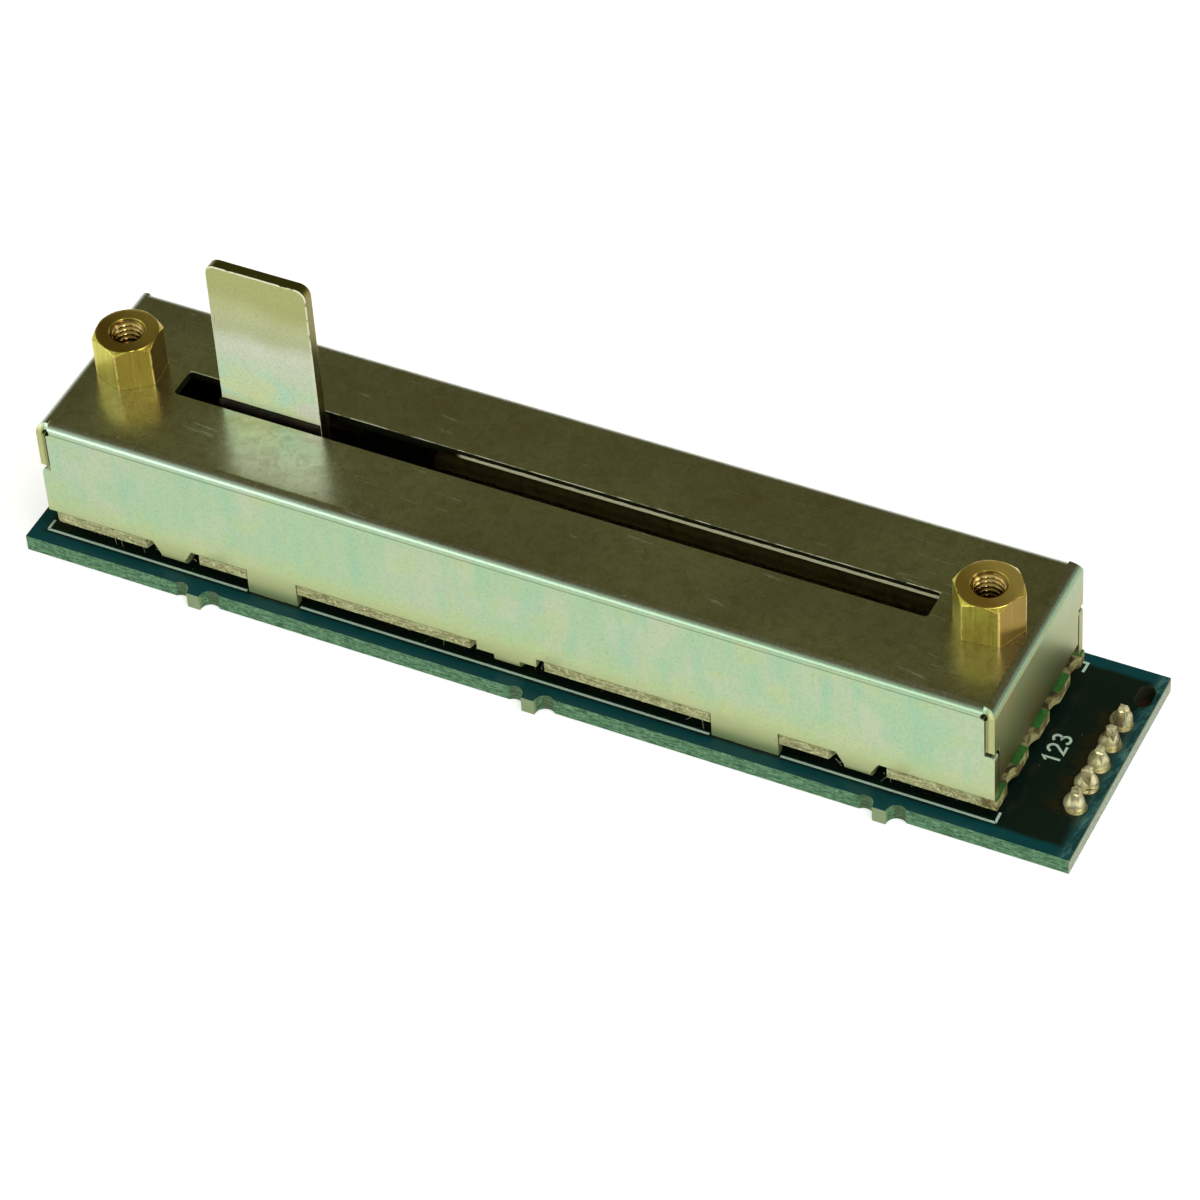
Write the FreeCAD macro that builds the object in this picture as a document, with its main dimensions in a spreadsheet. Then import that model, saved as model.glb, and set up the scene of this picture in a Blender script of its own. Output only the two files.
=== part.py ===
"""Slide potentiometer in a folded sheet-metal cover, on its circuit board.

Millimetres, +Z up. The origin is the centre of the board's underside. X runs
along the lever's travel, and the header pins are at the +X end. The pieces of
the potentiometer are drawn about its own centre, which lies a little left of
the board's centre, and the slider's pieces about the middle of the lever.
"""
import FreeCAD
import Part
import Sketcher
import math
import os
import re

# Driving sizes, each a cell of the sheet.
SIZES = {
    # Circuit board and the nubs left where it was broken from its panel
    "board_left_margin": 1.87,
    "board_right_margin": 7.13,
    "board_width": 22.4,
    "board_thickness": 1.6,
    "nub_pitch": 32.15,
    "nub_place": 0.3,
    "nub_reach": 0.8,
    "nub_hollow_radius": 0.9,
    "nub_hollow_apart": 3.0,
    "nub_hollow_outside": 0.65,
    "header_edge": 1.7,
    "header_middle": -0.44,
    "header_pins": 5,
    "header_pitch": 2.54,
    "header_hole_radius": 0.5,
    "pin_width": 0.64,
    "pin_above_board": 2.2,
    "pin_tip_chamfer": 0.14,
    "joint_foot_radius": 1.0,
    "joint_top_radius": 0.42,
    "joint_height": 1.55,
    "joint_side_radius": 1.5,
    "latch_hole_edge": 1.2,
    "latch_hole_middle": 8.35,
    "latch_hole_radius": 0.75,
    "latch_hole_length": 2.6,
    # Where the potentiometer stands across the board
    "pot_across": -0.29,
    # Laminate that carries the tracks
    "substrate_gap": 1.4,
    "substrate_thickness": 1.2,
    "substrate_left_inset": 0.4,
    "substrate_right_reach": 0.2,
    "substrate_inset": 0.05,
    "substrate_corner": 0.8,
    "scallop_pitch": 4.5,
    "scallop_middle": 0.6,
    "scallop_width": 2.2,
    "scallop_depth": 0.45,
    "notch_depth": 1.1,
    "notch_flare": 0.55,
    "notch_clearance": 0.3,
    "foot_slot_clearance": 0.1,
    "track_end_gap": 0.2,
    "track_width": 2.6,
    "track_middle": 2.2,
    "track_thickness": 0.05,
    # Folded cover
    "cover_width": 18.8,
    "cover_height": 10.2,
    "sheet_thickness": 0.8,
    "bend_radius": 1.0,
    "seam_gap": 0.1,
    "corner_step": 4.9,
    "corner_step_gap": 0.5,
    "corner_step_radius": 0.4,
    "corner_cap_height": 0.9,
    "corner_cap_depth": 0.4,
    "relief_reach": 0.1,
    "relief_shift": 0.05,
    "relief_drop": 0.9,
    "relief_radius": 0.33,
    "end_wall_lift": 1.5,
    "slot_end_clearance": 0.35,
    "slot_width": 3.0,
    "slot_corner": 0.4,
    "tab_pitch": 32.2,
    "tab_width": 2.4,
    "tab_root": 3.8,
    "tab_shoulder": 5.6,
    "tab_shoulder_depth": 0.95,
    "tab_hook": 2.3,
    "tab_clearance": 0.02,
    "left_foot_place": -22.5,
    "left_foot_width": 4.75,
    "right_foot_place": 22.0,
    "right_foot_width": 6.1,
    "prong_width": 2.0,
    "prong_clearance": 0.05,
    # Swaged hexagon standoffs
    "standoff_inset": 4.4,
    "standoff_flats": 5.5,
    "standoff_height": 4.3,
    "thread_core_radius": 1.25,
    "mouth_radius": 1.55,
    "shank_radius": 2.1,
    "shank_clearance": 0.02,
    "swage_radius": 2.5,
    "swage_height": 0.35,
    "left_hexagon_turn": 37.4,
    "right_hexagon_turn": 6.5,
    "hexagon_chamfer": 0.4,
    # Guide rods and their end supports
    "rod_radius": 1.0,
    "rod_level": 8.0,
    "rod_end_gap": 0.1,
    "rod_chamfer": 0.2,
    "rod_seat_clearance": 0.02,
    "support_thickness": 1.1,
    "support_side_gap": 0.3,
    "support_height": 6.2,
    "support_corner": 1.6,
    "support_foot_reach": 2.4,
    "support_foot_width": 3.4,
    "support_foot_height": 1.3,
    "support_window_width": 7.0,
    "support_window_height": 1.9,
    "peg_radius": 0.7,
    "peg_clearance": 0.03,
    # Terminals, riveted through the laminate and soldered in the board
    "terminal_inset": 1.9,
    "terminal_across": 2.2,
    "terminal_radius": 0.45,
    "terminal_head_radius": 1.1,
    "terminal_head_height": 0.3,
    "terminal_head_top": 0.77,
    "terminal_shoulder_radius": 0.9,
    "terminal_shoulder_height": 0.3,
    "terminal_hole_clearance": 0.05,
    # Slider
    "travel": 60.0,
    "stop_gap": 0.2,
    "rest_from_left": 3.9,
    "lever_width": 9.6,
    "lever_thickness": 1.1,
    "lever_top": 29.7,
    "lever_seat": 7.3,
    "lever_corner": 1.0,
    "lever_edge": 0.12,
    "lever_fit": 0.02,
    "carriage_length": 24.6,
    "carriage_side_gap": 0.6,
    "carriage_bore_wall": 0.85,
    "carriage_waist": 8.4,
    "carriage_arm": 6.6,
    "carriage_floor": 6.3,
    "carriage_height": 3.4,
    "carriage_corner": 0.5,
    "running_clearance": 0.05,
    "neck_length": 14.6,
    "neck_width": 2.4,
    "neck_top": 11.4,
    "collar_width": 1.9,
    "collar_above_cover": 0.3,
    "wiper_length": 9.4,
    "wiper_width": 8.0,
    "wiper_sheet": 0.25,
    "wiper_fit": 0.05,
    "wiper_peg_radius": 0.5,
    "wiper_peg_apart": 5.6,
    "finger_width": 0.8,
    "finger_apart": 1.3,
    "finger_root": 3.6,
    "finger_tip": 8.0,
    "finger_contact": 0.9,
    "finger_gap": 0.05,
}

# Levels and half sizes worked out from the driving sizes.
DERIVED = {
    "cover_length": "travel + carriage_length + 2 * (stop_gap + support_thickness + sheet_thickness)",
    "standoff_spacing": "cover_length - 2 * standoff_inset",
    "board_length": "board_left_margin + cover_length + board_right_margin",
    "header_place": "board_length / 2 - header_edge",
    "latch_hole_place": "board_length / 2 - latch_hole_edge",
    "pot_along": "board_left_margin + half_cover - board_length / 2",
    "substrate_left": "half_cover - substrate_left_inset",
    "substrate_right": "half_cover + substrate_right_reach",
    "slot_length": "travel + lever_width + 2 * slot_end_clearance",
    "terminal_place": "support_face - terminal_inset",
    "track_length": "2 * (terminal_place - terminal_head_radius - track_end_gap)",
    "substrate_floor": "board_thickness + substrate_gap",
    "wall_foot": "substrate_floor + substrate_thickness",
    "cover_top": "wall_foot + cover_height",
    "plate_floor": "cover_top - sheet_thickness",
    "half_cover": "cover_length / 2",
    "half_width": "cover_width / 2",
    "inner_half_cover": "half_cover - sheet_thickness",
    "inner_half_width": "half_width - sheet_thickness",
    "core_half_length": "half_cover - bend_radius",
    "core_half_width": "half_width - bend_radius",
    "step_level": "wall_foot + corner_step",
    "end_wall_foot": "wall_foot + end_wall_lift",
    "hook_top": "substrate_floor - tab_clearance",
    "standoff_top": "cover_top + standoff_height",
    "corner_radius": "standoff_flats / sqrt(3)",
    "support_face": "inner_half_cover - support_thickness",
    "support_width": "2 * (inner_half_width - support_side_gap)",
    "carriage_width": "2 * (inner_half_width - carriage_side_gap)",
    "rod_half_apart": "carriage_width / 2 - carriage_bore_wall - running_clearance - rod_radius",
    "slide_rest": "rest_from_left - travel / 2",
    "collar_top": "cover_top + collar_above_cover",
    "scallop_radius": "(scallop_width ^ 2 / 4 + scallop_depth ^ 2) / (2 * scallop_depth)",
    "track_top": "wall_foot + track_thickness",
    "pin_top": "board_thickness + pin_above_board",
    "header_span": "(header_pins - 1) * header_pitch",
}

NAME = re.compile(r"[a-z][a-z0-9_]*")
TOUCH = 1e-4

doc = FreeCAD.newDocument("slide_potentiometer")
sheet = doc.addObject("Spreadsheet::Sheet", "sizes")
for row, (alias, size) in enumerate(SIZES.items(), start=1):
    sheet.set(f"A{row}", alias)
    sheet.set(f"B{row}", str(size))
    sheet.setAlias(f"B{row}", alias)
doc.recompute()


def bound(text):
    """Expression in which every named size is a cell of the sheet."""
    def swap(match):
        name = match.group(0)
        if name in DERIVED:
            return "(" + bound(DERIVED[name]) + ")"
        if name in SIZES:
            return "sizes." + name
        return name
    return NAME.sub(swap, str(text))


def size_of(text):
    """Value in millimetres of an expression of named sizes."""
    return float(doc.getObject("sizes").evalExpression(bound(text)))


def new_body(label, along="pot_along", across="pot_across"):
    """Empty body with its own label, placed by two expressions."""
    body = doc.addObject("PartDesign::Body", label)
    body.Label = label
    body.setExpression(".Placement.Base.x", bound(along))
    body.setExpression(".Placement.Base.y", bound(across))
    return body


def new_sketch(body, plane, level="0"):
    """Sketch on one of the body's origin planes, moved along its normal."""
    sketch = body.newObject("Sketcher::SketchObject", body.Label + "_sketch")
    support = next(o for o in body.Origin.OriginFeatures if o.Role == plane + "_Plane")
    sketch.AttachmentSupport = [(support, "")]
    sketch.MapMode = "FlatFace"
    sketch.setExpression(".AttachmentOffset.Base.z", bound(level))
    return sketch


def hold(sketch, kind, geometry, vertex, text):
    """Distance of a vertex from the sketch's origin, tied to the sheet."""
    index = sketch.addConstraint(
        Sketcher.Constraint(kind, -1, 1, geometry, vertex, size_of(text)))
    sketch.setExpression(f"Constraints[{index}]", bound(text))


def add_outline(sketch, corners, arcs=None):
    """Closed outline through corners given as pairs of expressions.

    arcs maps the number of a side to the radius of the hollow arc that
    replaces its straight line.
    """
    arcs = arcs or {}
    points = [FreeCAD.Vector(size_of(x), size_of(y), 0) for x, y in corners]
    count = len(points)
    first = sketch.GeometryCount
    starts = []
    ends = []
    for number, point in enumerate(points):
        following = points[(number + 1) % count]
        if number in arcs:
            radius = size_of(arcs[number])
            chord = following - point
            side = FreeCAD.Vector(-chord.y, chord.x, 0).normalize()
            sag = radius - math.sqrt(radius ** 2 - (chord.Length / 2) ** 2)
            middle = (point + following) * 0.5 + side * sag
            sketch.addGeometry(Part.Arc(point, middle, following), False)
            starts.append(2)
            ends.append(1)
        else:
            sketch.addGeometry(Part.LineSegment(point, following), False)
            starts.append(1)
            ends.append(2)
    for number in range(count):
        following = (number + 1) % count
        sketch.addConstraint(Sketcher.Constraint(
            "Coincident", first + number, ends[number], first + following, starts[following]))
    for number, (x, y) in enumerate(corners):
        hold(sketch, "DistanceX", first + number, starts[number], x)
        hold(sketch, "DistanceY", first + number, starts[number], y)
    for number, radius in arcs.items():
        index = sketch.addConstraint(
            Sketcher.Constraint("Radius", first + number, size_of(radius)))
        sketch.setExpression(f"Constraints[{index}]", bound(radius))


def add_rectangle(sketch, left, right, low, high):
    """Rectangle between four expressions."""
    add_outline(sketch, [(left, low), (right, low), (right, high), (left, high)])


def add_circle(sketch, x, y, radius):
    """Circle about a point, all given as expressions."""
    centre = FreeCAD.Vector(size_of(x), size_of(y), 0)
    index = sketch.addGeometry(
        Part.Circle(centre, FreeCAD.Vector(0, 0, 1), size_of(radius)), False)
    hold(sketch, "DistanceX", index, 3, x)
    hold(sketch, "DistanceY", index, 3, y)
    rule = sketch.addConstraint(Sketcher.Constraint("Radius", index, size_of(radius)))
    sketch.setExpression(f"Constraints[{rule}]", bound(radius))


def finish_feature(body, feature, grows):
    """Recompute the body and make sure that the feature added or cut material."""
    before = feature.BaseFeature.Shape.Volume if feature.BaseFeature else 0.0
    body.Tip = feature
    doc.recompute()
    after = feature.Shape.Volume
    changed = after - before if grows else before - after
    if changed <= TOUCH:
        raise RuntimeError(f"{body.Label}: {feature.Name} changes nothing")
    return feature


def pad(body, sketch, length, both=False, back=False):
    """Solid raised from a sketch, one way or evenly both ways."""
    feature = body.newObject("PartDesign::Pad", body.Label + "_pad")
    feature.Profile = sketch
    feature.SideType = "Symmetric" if both else "One side"
    feature.Reversed = back
    feature.setExpression("Length", bound(length))
    return finish_feature(body, feature, True)


def pocket(body, sketch, depth, both=False, back=False):
    """Material cut away below a sketch, or evenly on both sides of it."""
    feature = body.newObject("PartDesign::Pocket", body.Label + "_pocket")
    feature.Profile = sketch
    feature.SideType = "Symmetric" if both else "One side"
    feature.Reversed = back
    feature.setExpression("Length", bound(depth))
    return finish_feature(body, feature, False)


def turn(body, sketch, grows=True):
    """Solid or groove turned about the sketch's upright axis."""
    kind = "PartDesign::Revolution" if grows else "PartDesign::Groove"
    feature = body.newObject(kind, body.Label + "_turned")
    feature.Profile = sketch
    feature.ReferenceAxis = (sketch, ["V_Axis"])
    feature.Angle = 360.0
    return finish_feature(body, feature, grows)


def edges_along(feature, axis, places):
    """Names of straight edges along an axis at the given cross positions."""
    others = [n for n in "xyz" if n != axis]
    wanted = [[size_of(part) for part in place] for place in places]
    names = []
    for number, edge in enumerate(feature.Shape.Edges, start=1):
        box = edge.BoundBox
        spans = {"x": box.XLength, "y": box.YLength, "z": box.ZLength}
        if any(spans[name] > 10 * TOUCH for name in others) or spans[axis] < TOUCH:
            continue
        middle = [getattr(box.Center, name) for name in others]
        for place in wanted:
            if all(abs(a - b) < 10 * TOUCH for a, b in zip(middle, place)):
                names.append(f"Edge{number}")
                break
    return names


def dress(body, kind, edges, amount):
    """Fillet or chamfer on named edges of the body's last feature."""
    base = body.Tip
    feature = body.newObject("PartDesign::" + kind, body.Label + "_" + kind.lower())
    feature.Base = (base, edges)
    cell = "Radius" if kind == "Fillet" else "Size"
    feature.setExpression(cell, bound(amount))
    body.Tip = feature
    doc.recompute()
    return feature


def make_circuit_board():
    """Board outline, its break-off nubs, and every hole through it."""
    body = new_body("circuit_board", "0", "0")
    outline = new_sketch(body, "XY")
    add_rectangle(outline, "-board_length / 2", "board_length / 2",
                  "-board_width / 2", "board_width / 2")
    pad(body, outline, "board_thickness")
    centres = [f"nub_place + {step} * nub_pitch" for step in (-1, 0, 1)]
    nubs = new_sketch(body, "XY")
    hollows = new_sketch(body, "XY")
    for side in ("-", ""):
        for centre in centres:
            low, high = f"{side}(board_width / 2 - nub_reach)", f"{side}(board_width / 2 + nub_reach)"
            add_rectangle(nubs, f"{centre} - nub_hollow_apart / 2",
                          f"{centre} + nub_hollow_apart / 2", low, high)
            for half in ("-", "+"):
                add_circle(hollows, f"{centre} {half} nub_hollow_apart / 2",
                           f"{side}(board_width / 2 + nub_hollow_outside)", "nub_hollow_radius")
    pad(body, nubs, "board_thickness")
    pocket(body, hollows, "board_thickness", back=True)
    holes = new_sketch(body, "XY")
    for pin in range(PIN_COUNT):
        add_circle(holes, "header_place", f"header_middle + header_span / 2 - {pin} * header_pitch",
                   "header_hole_radius")
    for end in ("-", "+"):
        add_circle(holes, "latch_hole_place",
                   f"latch_hole_middle {end} (latch_hole_length / 2 - latch_hole_radius)",
                   "latch_hole_radius")
    for along, across in TERMINALS.values():
        add_circle(holes, f"pot_along + {along}", f"pot_across + {across}",
                   "terminal_radius + terminal_hole_clearance")
    pocket(body, holes, "board_thickness", back=True)
    slots = new_sketch(body, "XY")
    add_rectangle(slots, "latch_hole_place - latch_hole_radius", "latch_hole_place + latch_hole_radius",
                  "latch_hole_middle - latch_hole_length / 2 + latch_hole_radius",
                  "latch_hole_middle + latch_hole_length / 2 - latch_hole_radius")
    for place in ("left_foot_place", "right_foot_place"):
        for side in ("-", ""):
            outer = f"pot_across + {side}(half_width + prong_clearance)"
            inner = f"pot_across + {side}(inner_half_width - prong_clearance)"
            add_rectangle(slots, f"pot_along + {place} - prong_width / 2 - prong_clearance",
                          f"pot_along + {place} + prong_width / 2 + prong_clearance", inner, outer)
    pocket(body, slots, "board_thickness", back=True)
    return body


def make_substrate():
    """Laminate strip: scalloped end, notches for the cover's tabs and feet, holes."""
    body = new_body("substrate")
    outline = new_sketch(body, "XY", "substrate_floor")
    edge = "half_width - substrate_inset"
    add_rectangle(outline, "-substrate_left", "substrate_right", f"-({edge})", edge)
    pad(body, outline, "substrate_thickness")
    corners = [("-substrate_left", f"-({edge})"), ("-substrate_left", edge)]
    dress(body, "Fillet", edges_along(body.Tip, "z", corners), "substrate_corner")
    cuts = new_sketch(body, "XY", "substrate_floor")
    for step in (-1.5, -0.5, 0.5, 1.5):
        add_circle(cuts, "substrate_right + scallop_radius - scallop_depth",
                   f"scallop_middle + {step} * scallop_pitch", "scallop_radius")
    for side in ("-", ""):
        for step in (-1, 0, 1):
            centre = f"{step} * tab_pitch"
            root = "tab_root" if step else "tab_shoulder"
            half = f"({root} / 2 + notch_clearance)"
            mouth = f"({root} / 2 + notch_clearance + notch_flare)"
            deep = f"{side}(half_width - notch_depth)"
            brink = f"{side}(half_width + notch_clearance)"
            add_outline(cuts, [(f"{centre} - {half}", deep), (f"{centre} + {half}", deep),
                               (f"{centre} + {mouth}", brink), (f"{centre} - {mouth}", brink)])
        for foot in ("left", "right"):
            half = f"({foot}_foot_width / 2 + foot_slot_clearance)"
            add_rectangle(cuts, f"{foot}_foot_place - {half}", f"{foot}_foot_place + {half}",
                          f"{side}(inner_half_width - foot_slot_clearance)",
                          f"{side}(half_width + notch_clearance)")
    for along, across in TERMINALS.values():
        add_circle(cuts, along, across, "terminal_radius + terminal_hole_clearance")
    for end in ("-", ""):
        for side in ("-", ""):
            add_circle(cuts, f"{end}{PEG_ALONG}", f"{side}{PEG_ACROSS}", "peg_radius + peg_clearance")
    pocket(body, cuts, "substrate_thickness", back=True)
    return body


def make_track(label, across):
    """Printed strip on the laminate, ended short of the terminals' heads."""
    body = new_body(label)
    strip = new_sketch(body, "XY", "wall_foot")
    add_rectangle(strip, "-track_length / 2", "track_length / 2",
                  f"{across} - track_width / 2", f"{across} + track_width / 2")
    pad(body, strip, "track_thickness")
    return body


def add_cover_walls(body):
    """Ends, corner reliefs, crimp tabs and feet of the front and the back wall."""
    for front in (True, False):
        level = "half_width" if front else "-half_width"
        side = "-" if front else ""
        ends = new_sketch(body, "XZ", level)
        for end in ("-", ""):
            inside = f"{end}(core_half_length - sheet_thickness)"
            seam = f"{end}(inner_half_cover - seam_gap)"
            add_outline(ends, [(inside, "wall_foot"), (f"{end}half_cover", "wall_foot"),
                               (f"{end}half_cover", "step_level"), (seam, "step_level"),
                               (seam, "cover_top - bend_radius"),
                               (inside, "cover_top - bend_radius")])
        pad(body, ends, "sheet_thickness", back=front)
        relief = new_sketch(body, "XZ", level)
        for end in ("-", ""):
            add_circle(relief, f"{end}(core_half_length + relief_shift)",
                       "cover_top - relief_drop", "relief_radius")
        pocket(body, relief, "bend_radius", back=not front)
        skirt = new_sketch(body, "XZ", level)
        tip = "(substrate_floor - sheet_thickness - tab_clearance)"
        for step in (-1, 1):
            centre = f"{step} * tab_pitch"
            add_outline(skirt, [
                (f"{centre} - tab_root / 2", "wall_foot + sheet_thickness"),
                (f"{centre} - tab_root / 2", "wall_foot"),
                (f"{centre} - tab_width / 2", "substrate_floor"),
                (f"{centre} - tab_width / 2", tip),
                (f"{centre} + tab_width / 2", tip),
                (f"{centre} + tab_width / 2", "substrate_floor"),
                (f"{centre} + tab_root / 2", "wall_foot"),
                (f"{centre} + tab_root / 2", "wall_foot + sheet_thickness")])
        add_outline(skirt, [
            ("-tab_shoulder / 2", "wall_foot + sheet_thickness"),
            ("-tab_shoulder / 2", "wall_foot - tab_shoulder_depth"),
            ("-tab_width / 2", "wall_foot - tab_shoulder_depth"),
            ("-tab_width / 2", tip),
            ("tab_width / 2", tip),
            ("tab_width / 2", "wall_foot - tab_shoulder_depth"),
            ("tab_shoulder / 2", "wall_foot - tab_shoulder_depth"),
            ("tab_shoulder / 2", "wall_foot + sheet_thickness")])
        for foot in ("left", "right"):
            place = f"{foot}_foot_place"
            wide = f"{foot}_foot_width / 2"
            add_outline(skirt, [
                (f"{place} - {wide}", "wall_foot + sheet_thickness"),
                (f"{place} - {wide}", "board_thickness"),
                (f"{place} - prong_width / 2", "board_thickness"),
                (f"{place} - prong_width / 2", "0"),
                (f"{place} + prong_width / 2", "0"),
                (f"{place} + prong_width / 2", "board_thickness"),
                (f"{place} + {wide}", "board_thickness"),
                (f"{place} + {wide}", "wall_foot + sheet_thickness")])
        pad(body, skirt, "sheet_thickness", back=front)
        for step in (-1, 0, 1):
            hook = new_sketch(body, "YZ", f"{step} * tab_pitch")
            add_rectangle(hook, f"{side}half_width", f"{side}(half_width - tab_hook)",
                          "hook_top - sheet_thickness", "hook_top")
            pad(body, hook, "tab_width", both=True)
        brinks = edges_along(body.Tip, "x", [(f"{side}half_width", "hook_top - sheet_thickness")])
        dress(body, "Fillet", brinks, "sheet_thickness + tab_clearance")


def make_cover():
    """Cover folded from one sheet, with interlocking corners, tabs and feet."""
    body = new_body("cover")
    channel = new_sketch(body, "YZ")
    add_outline(channel, [
        ("-half_width", "wall_foot"), ("-half_width", "cover_top"),
        ("half_width", "cover_top"), ("half_width", "wall_foot"),
        ("inner_half_width", "wall_foot"), ("inner_half_width", "plate_floor"),
        ("-inner_half_width", "plate_floor"), ("-inner_half_width", "wall_foot")])
    pad(body, channel, "2 * core_half_length", both=True)
    bends = [("-half_width", "cover_top"), ("half_width", "cover_top")]
    dress(body, "Fillet", edges_along(body.Tip, "x", bends), "bend_radius")
    bends = [("-inner_half_width", "plate_floor"), ("inner_half_width", "plate_floor")]
    dress(body, "Fillet", edges_along(body.Tip, "x", bends), "bend_radius - sheet_thickness")
    flaps = new_sketch(body, "XZ")
    for end in ("-", ""):
        add_outline(flaps, [
            (f"{end}(core_half_length - sheet_thickness)", "cover_top"),
            (f"{end}half_cover", "cover_top"), (f"{end}half_cover", "end_wall_foot"),
            (f"{end}inner_half_cover", "end_wall_foot"), (f"{end}inner_half_cover", "plate_floor"),
            (f"{end}(core_half_length - sheet_thickness)", "plate_floor")])
    pad(body, flaps, "2 * core_half_width", both=True)
    ears = new_sketch(body, "XZ")
    for end in ("-", ""):
        inside = f"{end}(core_half_length - relief_reach)"
        add_outline(ears, [
            (inside, "cover_top"), (f"{end}half_cover", "cover_top"),
            (f"{end}half_cover", "step_level + corner_step_gap"),
            (f"{end}inner_half_cover", "step_level + corner_step_gap"),
            (f"{end}inner_half_cover", "plate_floor"), (inside, "plate_floor")])
    pad(body, ears, "2 * half_width", both=True)
    bends = [("-half_cover", "cover_top"), ("half_cover", "cover_top")]
    dress(body, "Fillet", edges_along(body.Tip, "y", bends), "bend_radius")
    for level, back in (("-half_cover", True), ("half_cover", False)):
        caps = new_sketch(body, "YZ", level)
        for side in ("-", ""):
            add_outline(caps, [(f"{side}half_width", "cover_top - corner_cap_height"),
                               (f"{side}half_width", "cover_top"),
                               (f"{side}(half_width - corner_cap_depth)", "cover_top")])
        pocket(body, caps, "bend_radius + relief_reach", back=back)
    add_cover_walls(body)
    steps = [("-half_cover", "step_level"), ("half_cover", "step_level")]
    dress(body, "Fillet", edges_along(body.Tip, "y", steps), "corner_step_radius")
    slot = new_sketch(body, "XY", "cover_top")
    add_rectangle(slot, "-slot_length / 2", "slot_length / 2", "-slot_width / 2", "slot_width / 2")
    pocket(body, slot, "sheet_thickness")
    corners = [(f"{end}slot_length / 2", f"{side}slot_width / 2")
               for end in ("-", "") for side in ("-", "")]
    dress(body, "Fillet", edges_along(body.Tip, "z", corners), "slot_corner")
    seats = new_sketch(body, "XY", "cover_top")
    for end in ("-", ""):
        add_circle(seats, f"{end}standoff_spacing / 2", "0", "shank_radius + shank_clearance")
    pocket(body, seats, "sheet_thickness")
    return body


def make_standoff(label, end, hexagon_turn):
    """Hexagon standoff with a threaded bore, swaged into the cover's plate."""
    body = new_body(label, f"pot_along {end} standoff_spacing / 2")
    hexagon = new_sketch(body, "XY", "cover_top")
    angles = [f"({hexagon_turn} + {60 * step}) * 1deg" for step in range(6)]
    add_outline(hexagon, [(f"corner_radius * cos({angle})", f"corner_radius * sin({angle})")
                          for angle in angles])
    pad(body, hexagon, "standoff_height")
    shank = new_sketch(body, "XY", "cover_top")
    add_circle(shank, "0", "0", "shank_radius")
    pad(body, shank, "sheet_thickness + swage_height", back=True)
    swage = new_sketch(body, "XY", "plate_floor")
    add_circle(swage, "0", "0", "swage_radius")
    pad(body, swage, "swage_height", back=True)
    bore = new_sketch(body, "XY", "standoff_top")
    add_circle(bore, "0", "0", "thread_core_radius")
    pocket(body, bore, "standoff_height + sheet_thickness + swage_height")
    turned = new_sketch(body, "XZ")
    flat = "(standoff_flats / 2)"
    add_outline(turned, [(flat, "standoff_top"), ("corner_radius + hexagon_chamfer", "standoff_top"),
                         ("corner_radius + hexagon_chamfer",
                          f"standoff_top - hexagon_chamfer - (corner_radius - {flat})")])
    add_outline(turned, [("thread_core_radius / 2", "standoff_top"), ("mouth_radius", "standoff_top"),
                         ("thread_core_radius / 2",
                          "standoff_top - (mouth_radius - thread_core_radius / 2)")])
    turn(body, turned, grows=False)
    return body


def make_rod(label, across):
    """Ground rod that the slider runs on, held between the end supports."""
    body = new_body(label)
    section = new_sketch(body, "YZ")
    add_circle(section, across, "rod_level", "rod_radius")
    pad(body, section, "2 * (inner_half_cover - rod_end_gap)", both=True)
    rims = [f"Edge{number}" for number, edge in enumerate(body.Tip.Shape.Edges, start=1)
            if edge.isClosed()]
    dress(body, "Chamfer", rims, "rod_chamfer")
    return body


def make_support(label, end):
    """Moulded end support: an upright bored for the rods, on two pegged feet."""
    body = new_body(label)
    upright = new_sketch(body, "YZ", "inner_half_cover" if end == "" else "-inner_half_cover")
    half = "support_width / 2"
    top = "wall_foot + support_height"
    add_outline(upright, [
        (f"-{half}", "wall_foot"), (f"-{half}", f"{top} - support_corner"),
        (f"-({half} - support_corner)", top), (f"{half} - support_corner", top),
        (half, f"{top} - support_corner"), (half, "wall_foot"),
        ("support_window_width / 2", "wall_foot"),
        ("support_window_width / 2", "wall_foot + support_window_height"),
        ("-support_window_width / 2", "wall_foot + support_window_height"),
        ("-support_window_width / 2", "wall_foot")])
    pad(body, upright, "support_thickness", back=(end == ""))
    feet = new_sketch(body, "XY", "wall_foot")
    pegs = new_sketch(body, "XY", "wall_foot")
    for side in ("-", ""):
        add_rectangle(feet, f"{end}(support_face - support_foot_reach)",
                      f"{end}(support_face + support_thickness / 2)",
                      f"{side}({half} - support_foot_width)", f"{side}{half}")
        add_circle(pegs, f"{end}{PEG_ALONG}", f"{side}{PEG_ACROSS}", "peg_radius")
    pad(body, feet, "support_foot_height")
    pad(body, pegs, "substrate_thickness", back=True)
    seats = new_sketch(body, "YZ")
    for side in ("-", ""):
        add_circle(seats, f"{side}rod_half_apart", "rod_level", "rod_radius + rod_seat_clearance")
    pocket(body, seats, "2 * cover_length", both=True)
    return body


def make_terminal(label, along, across):
    """Pin riveted through the laminate, with its tail in the board."""
    body = new_body(label, f"pot_along + {along}", f"pot_across + {across}")
    profile = new_sketch(body, "XZ")
    add_outline(profile, [
        ("0", "0"), ("terminal_radius", "0"),
        ("terminal_radius", "substrate_floor - terminal_shoulder_height"),
        ("terminal_shoulder_radius", "substrate_floor - terminal_shoulder_height"),
        ("terminal_shoulder_radius", "substrate_floor"), ("terminal_radius", "substrate_floor"),
        ("terminal_radius", "wall_foot"), ("terminal_head_radius", "wall_foot"),
        ("terminal_head_top", "wall_foot + terminal_head_height"),
        ("0", "wall_foot + terminal_head_height")])
    turn(body, profile)
    return body


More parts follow.
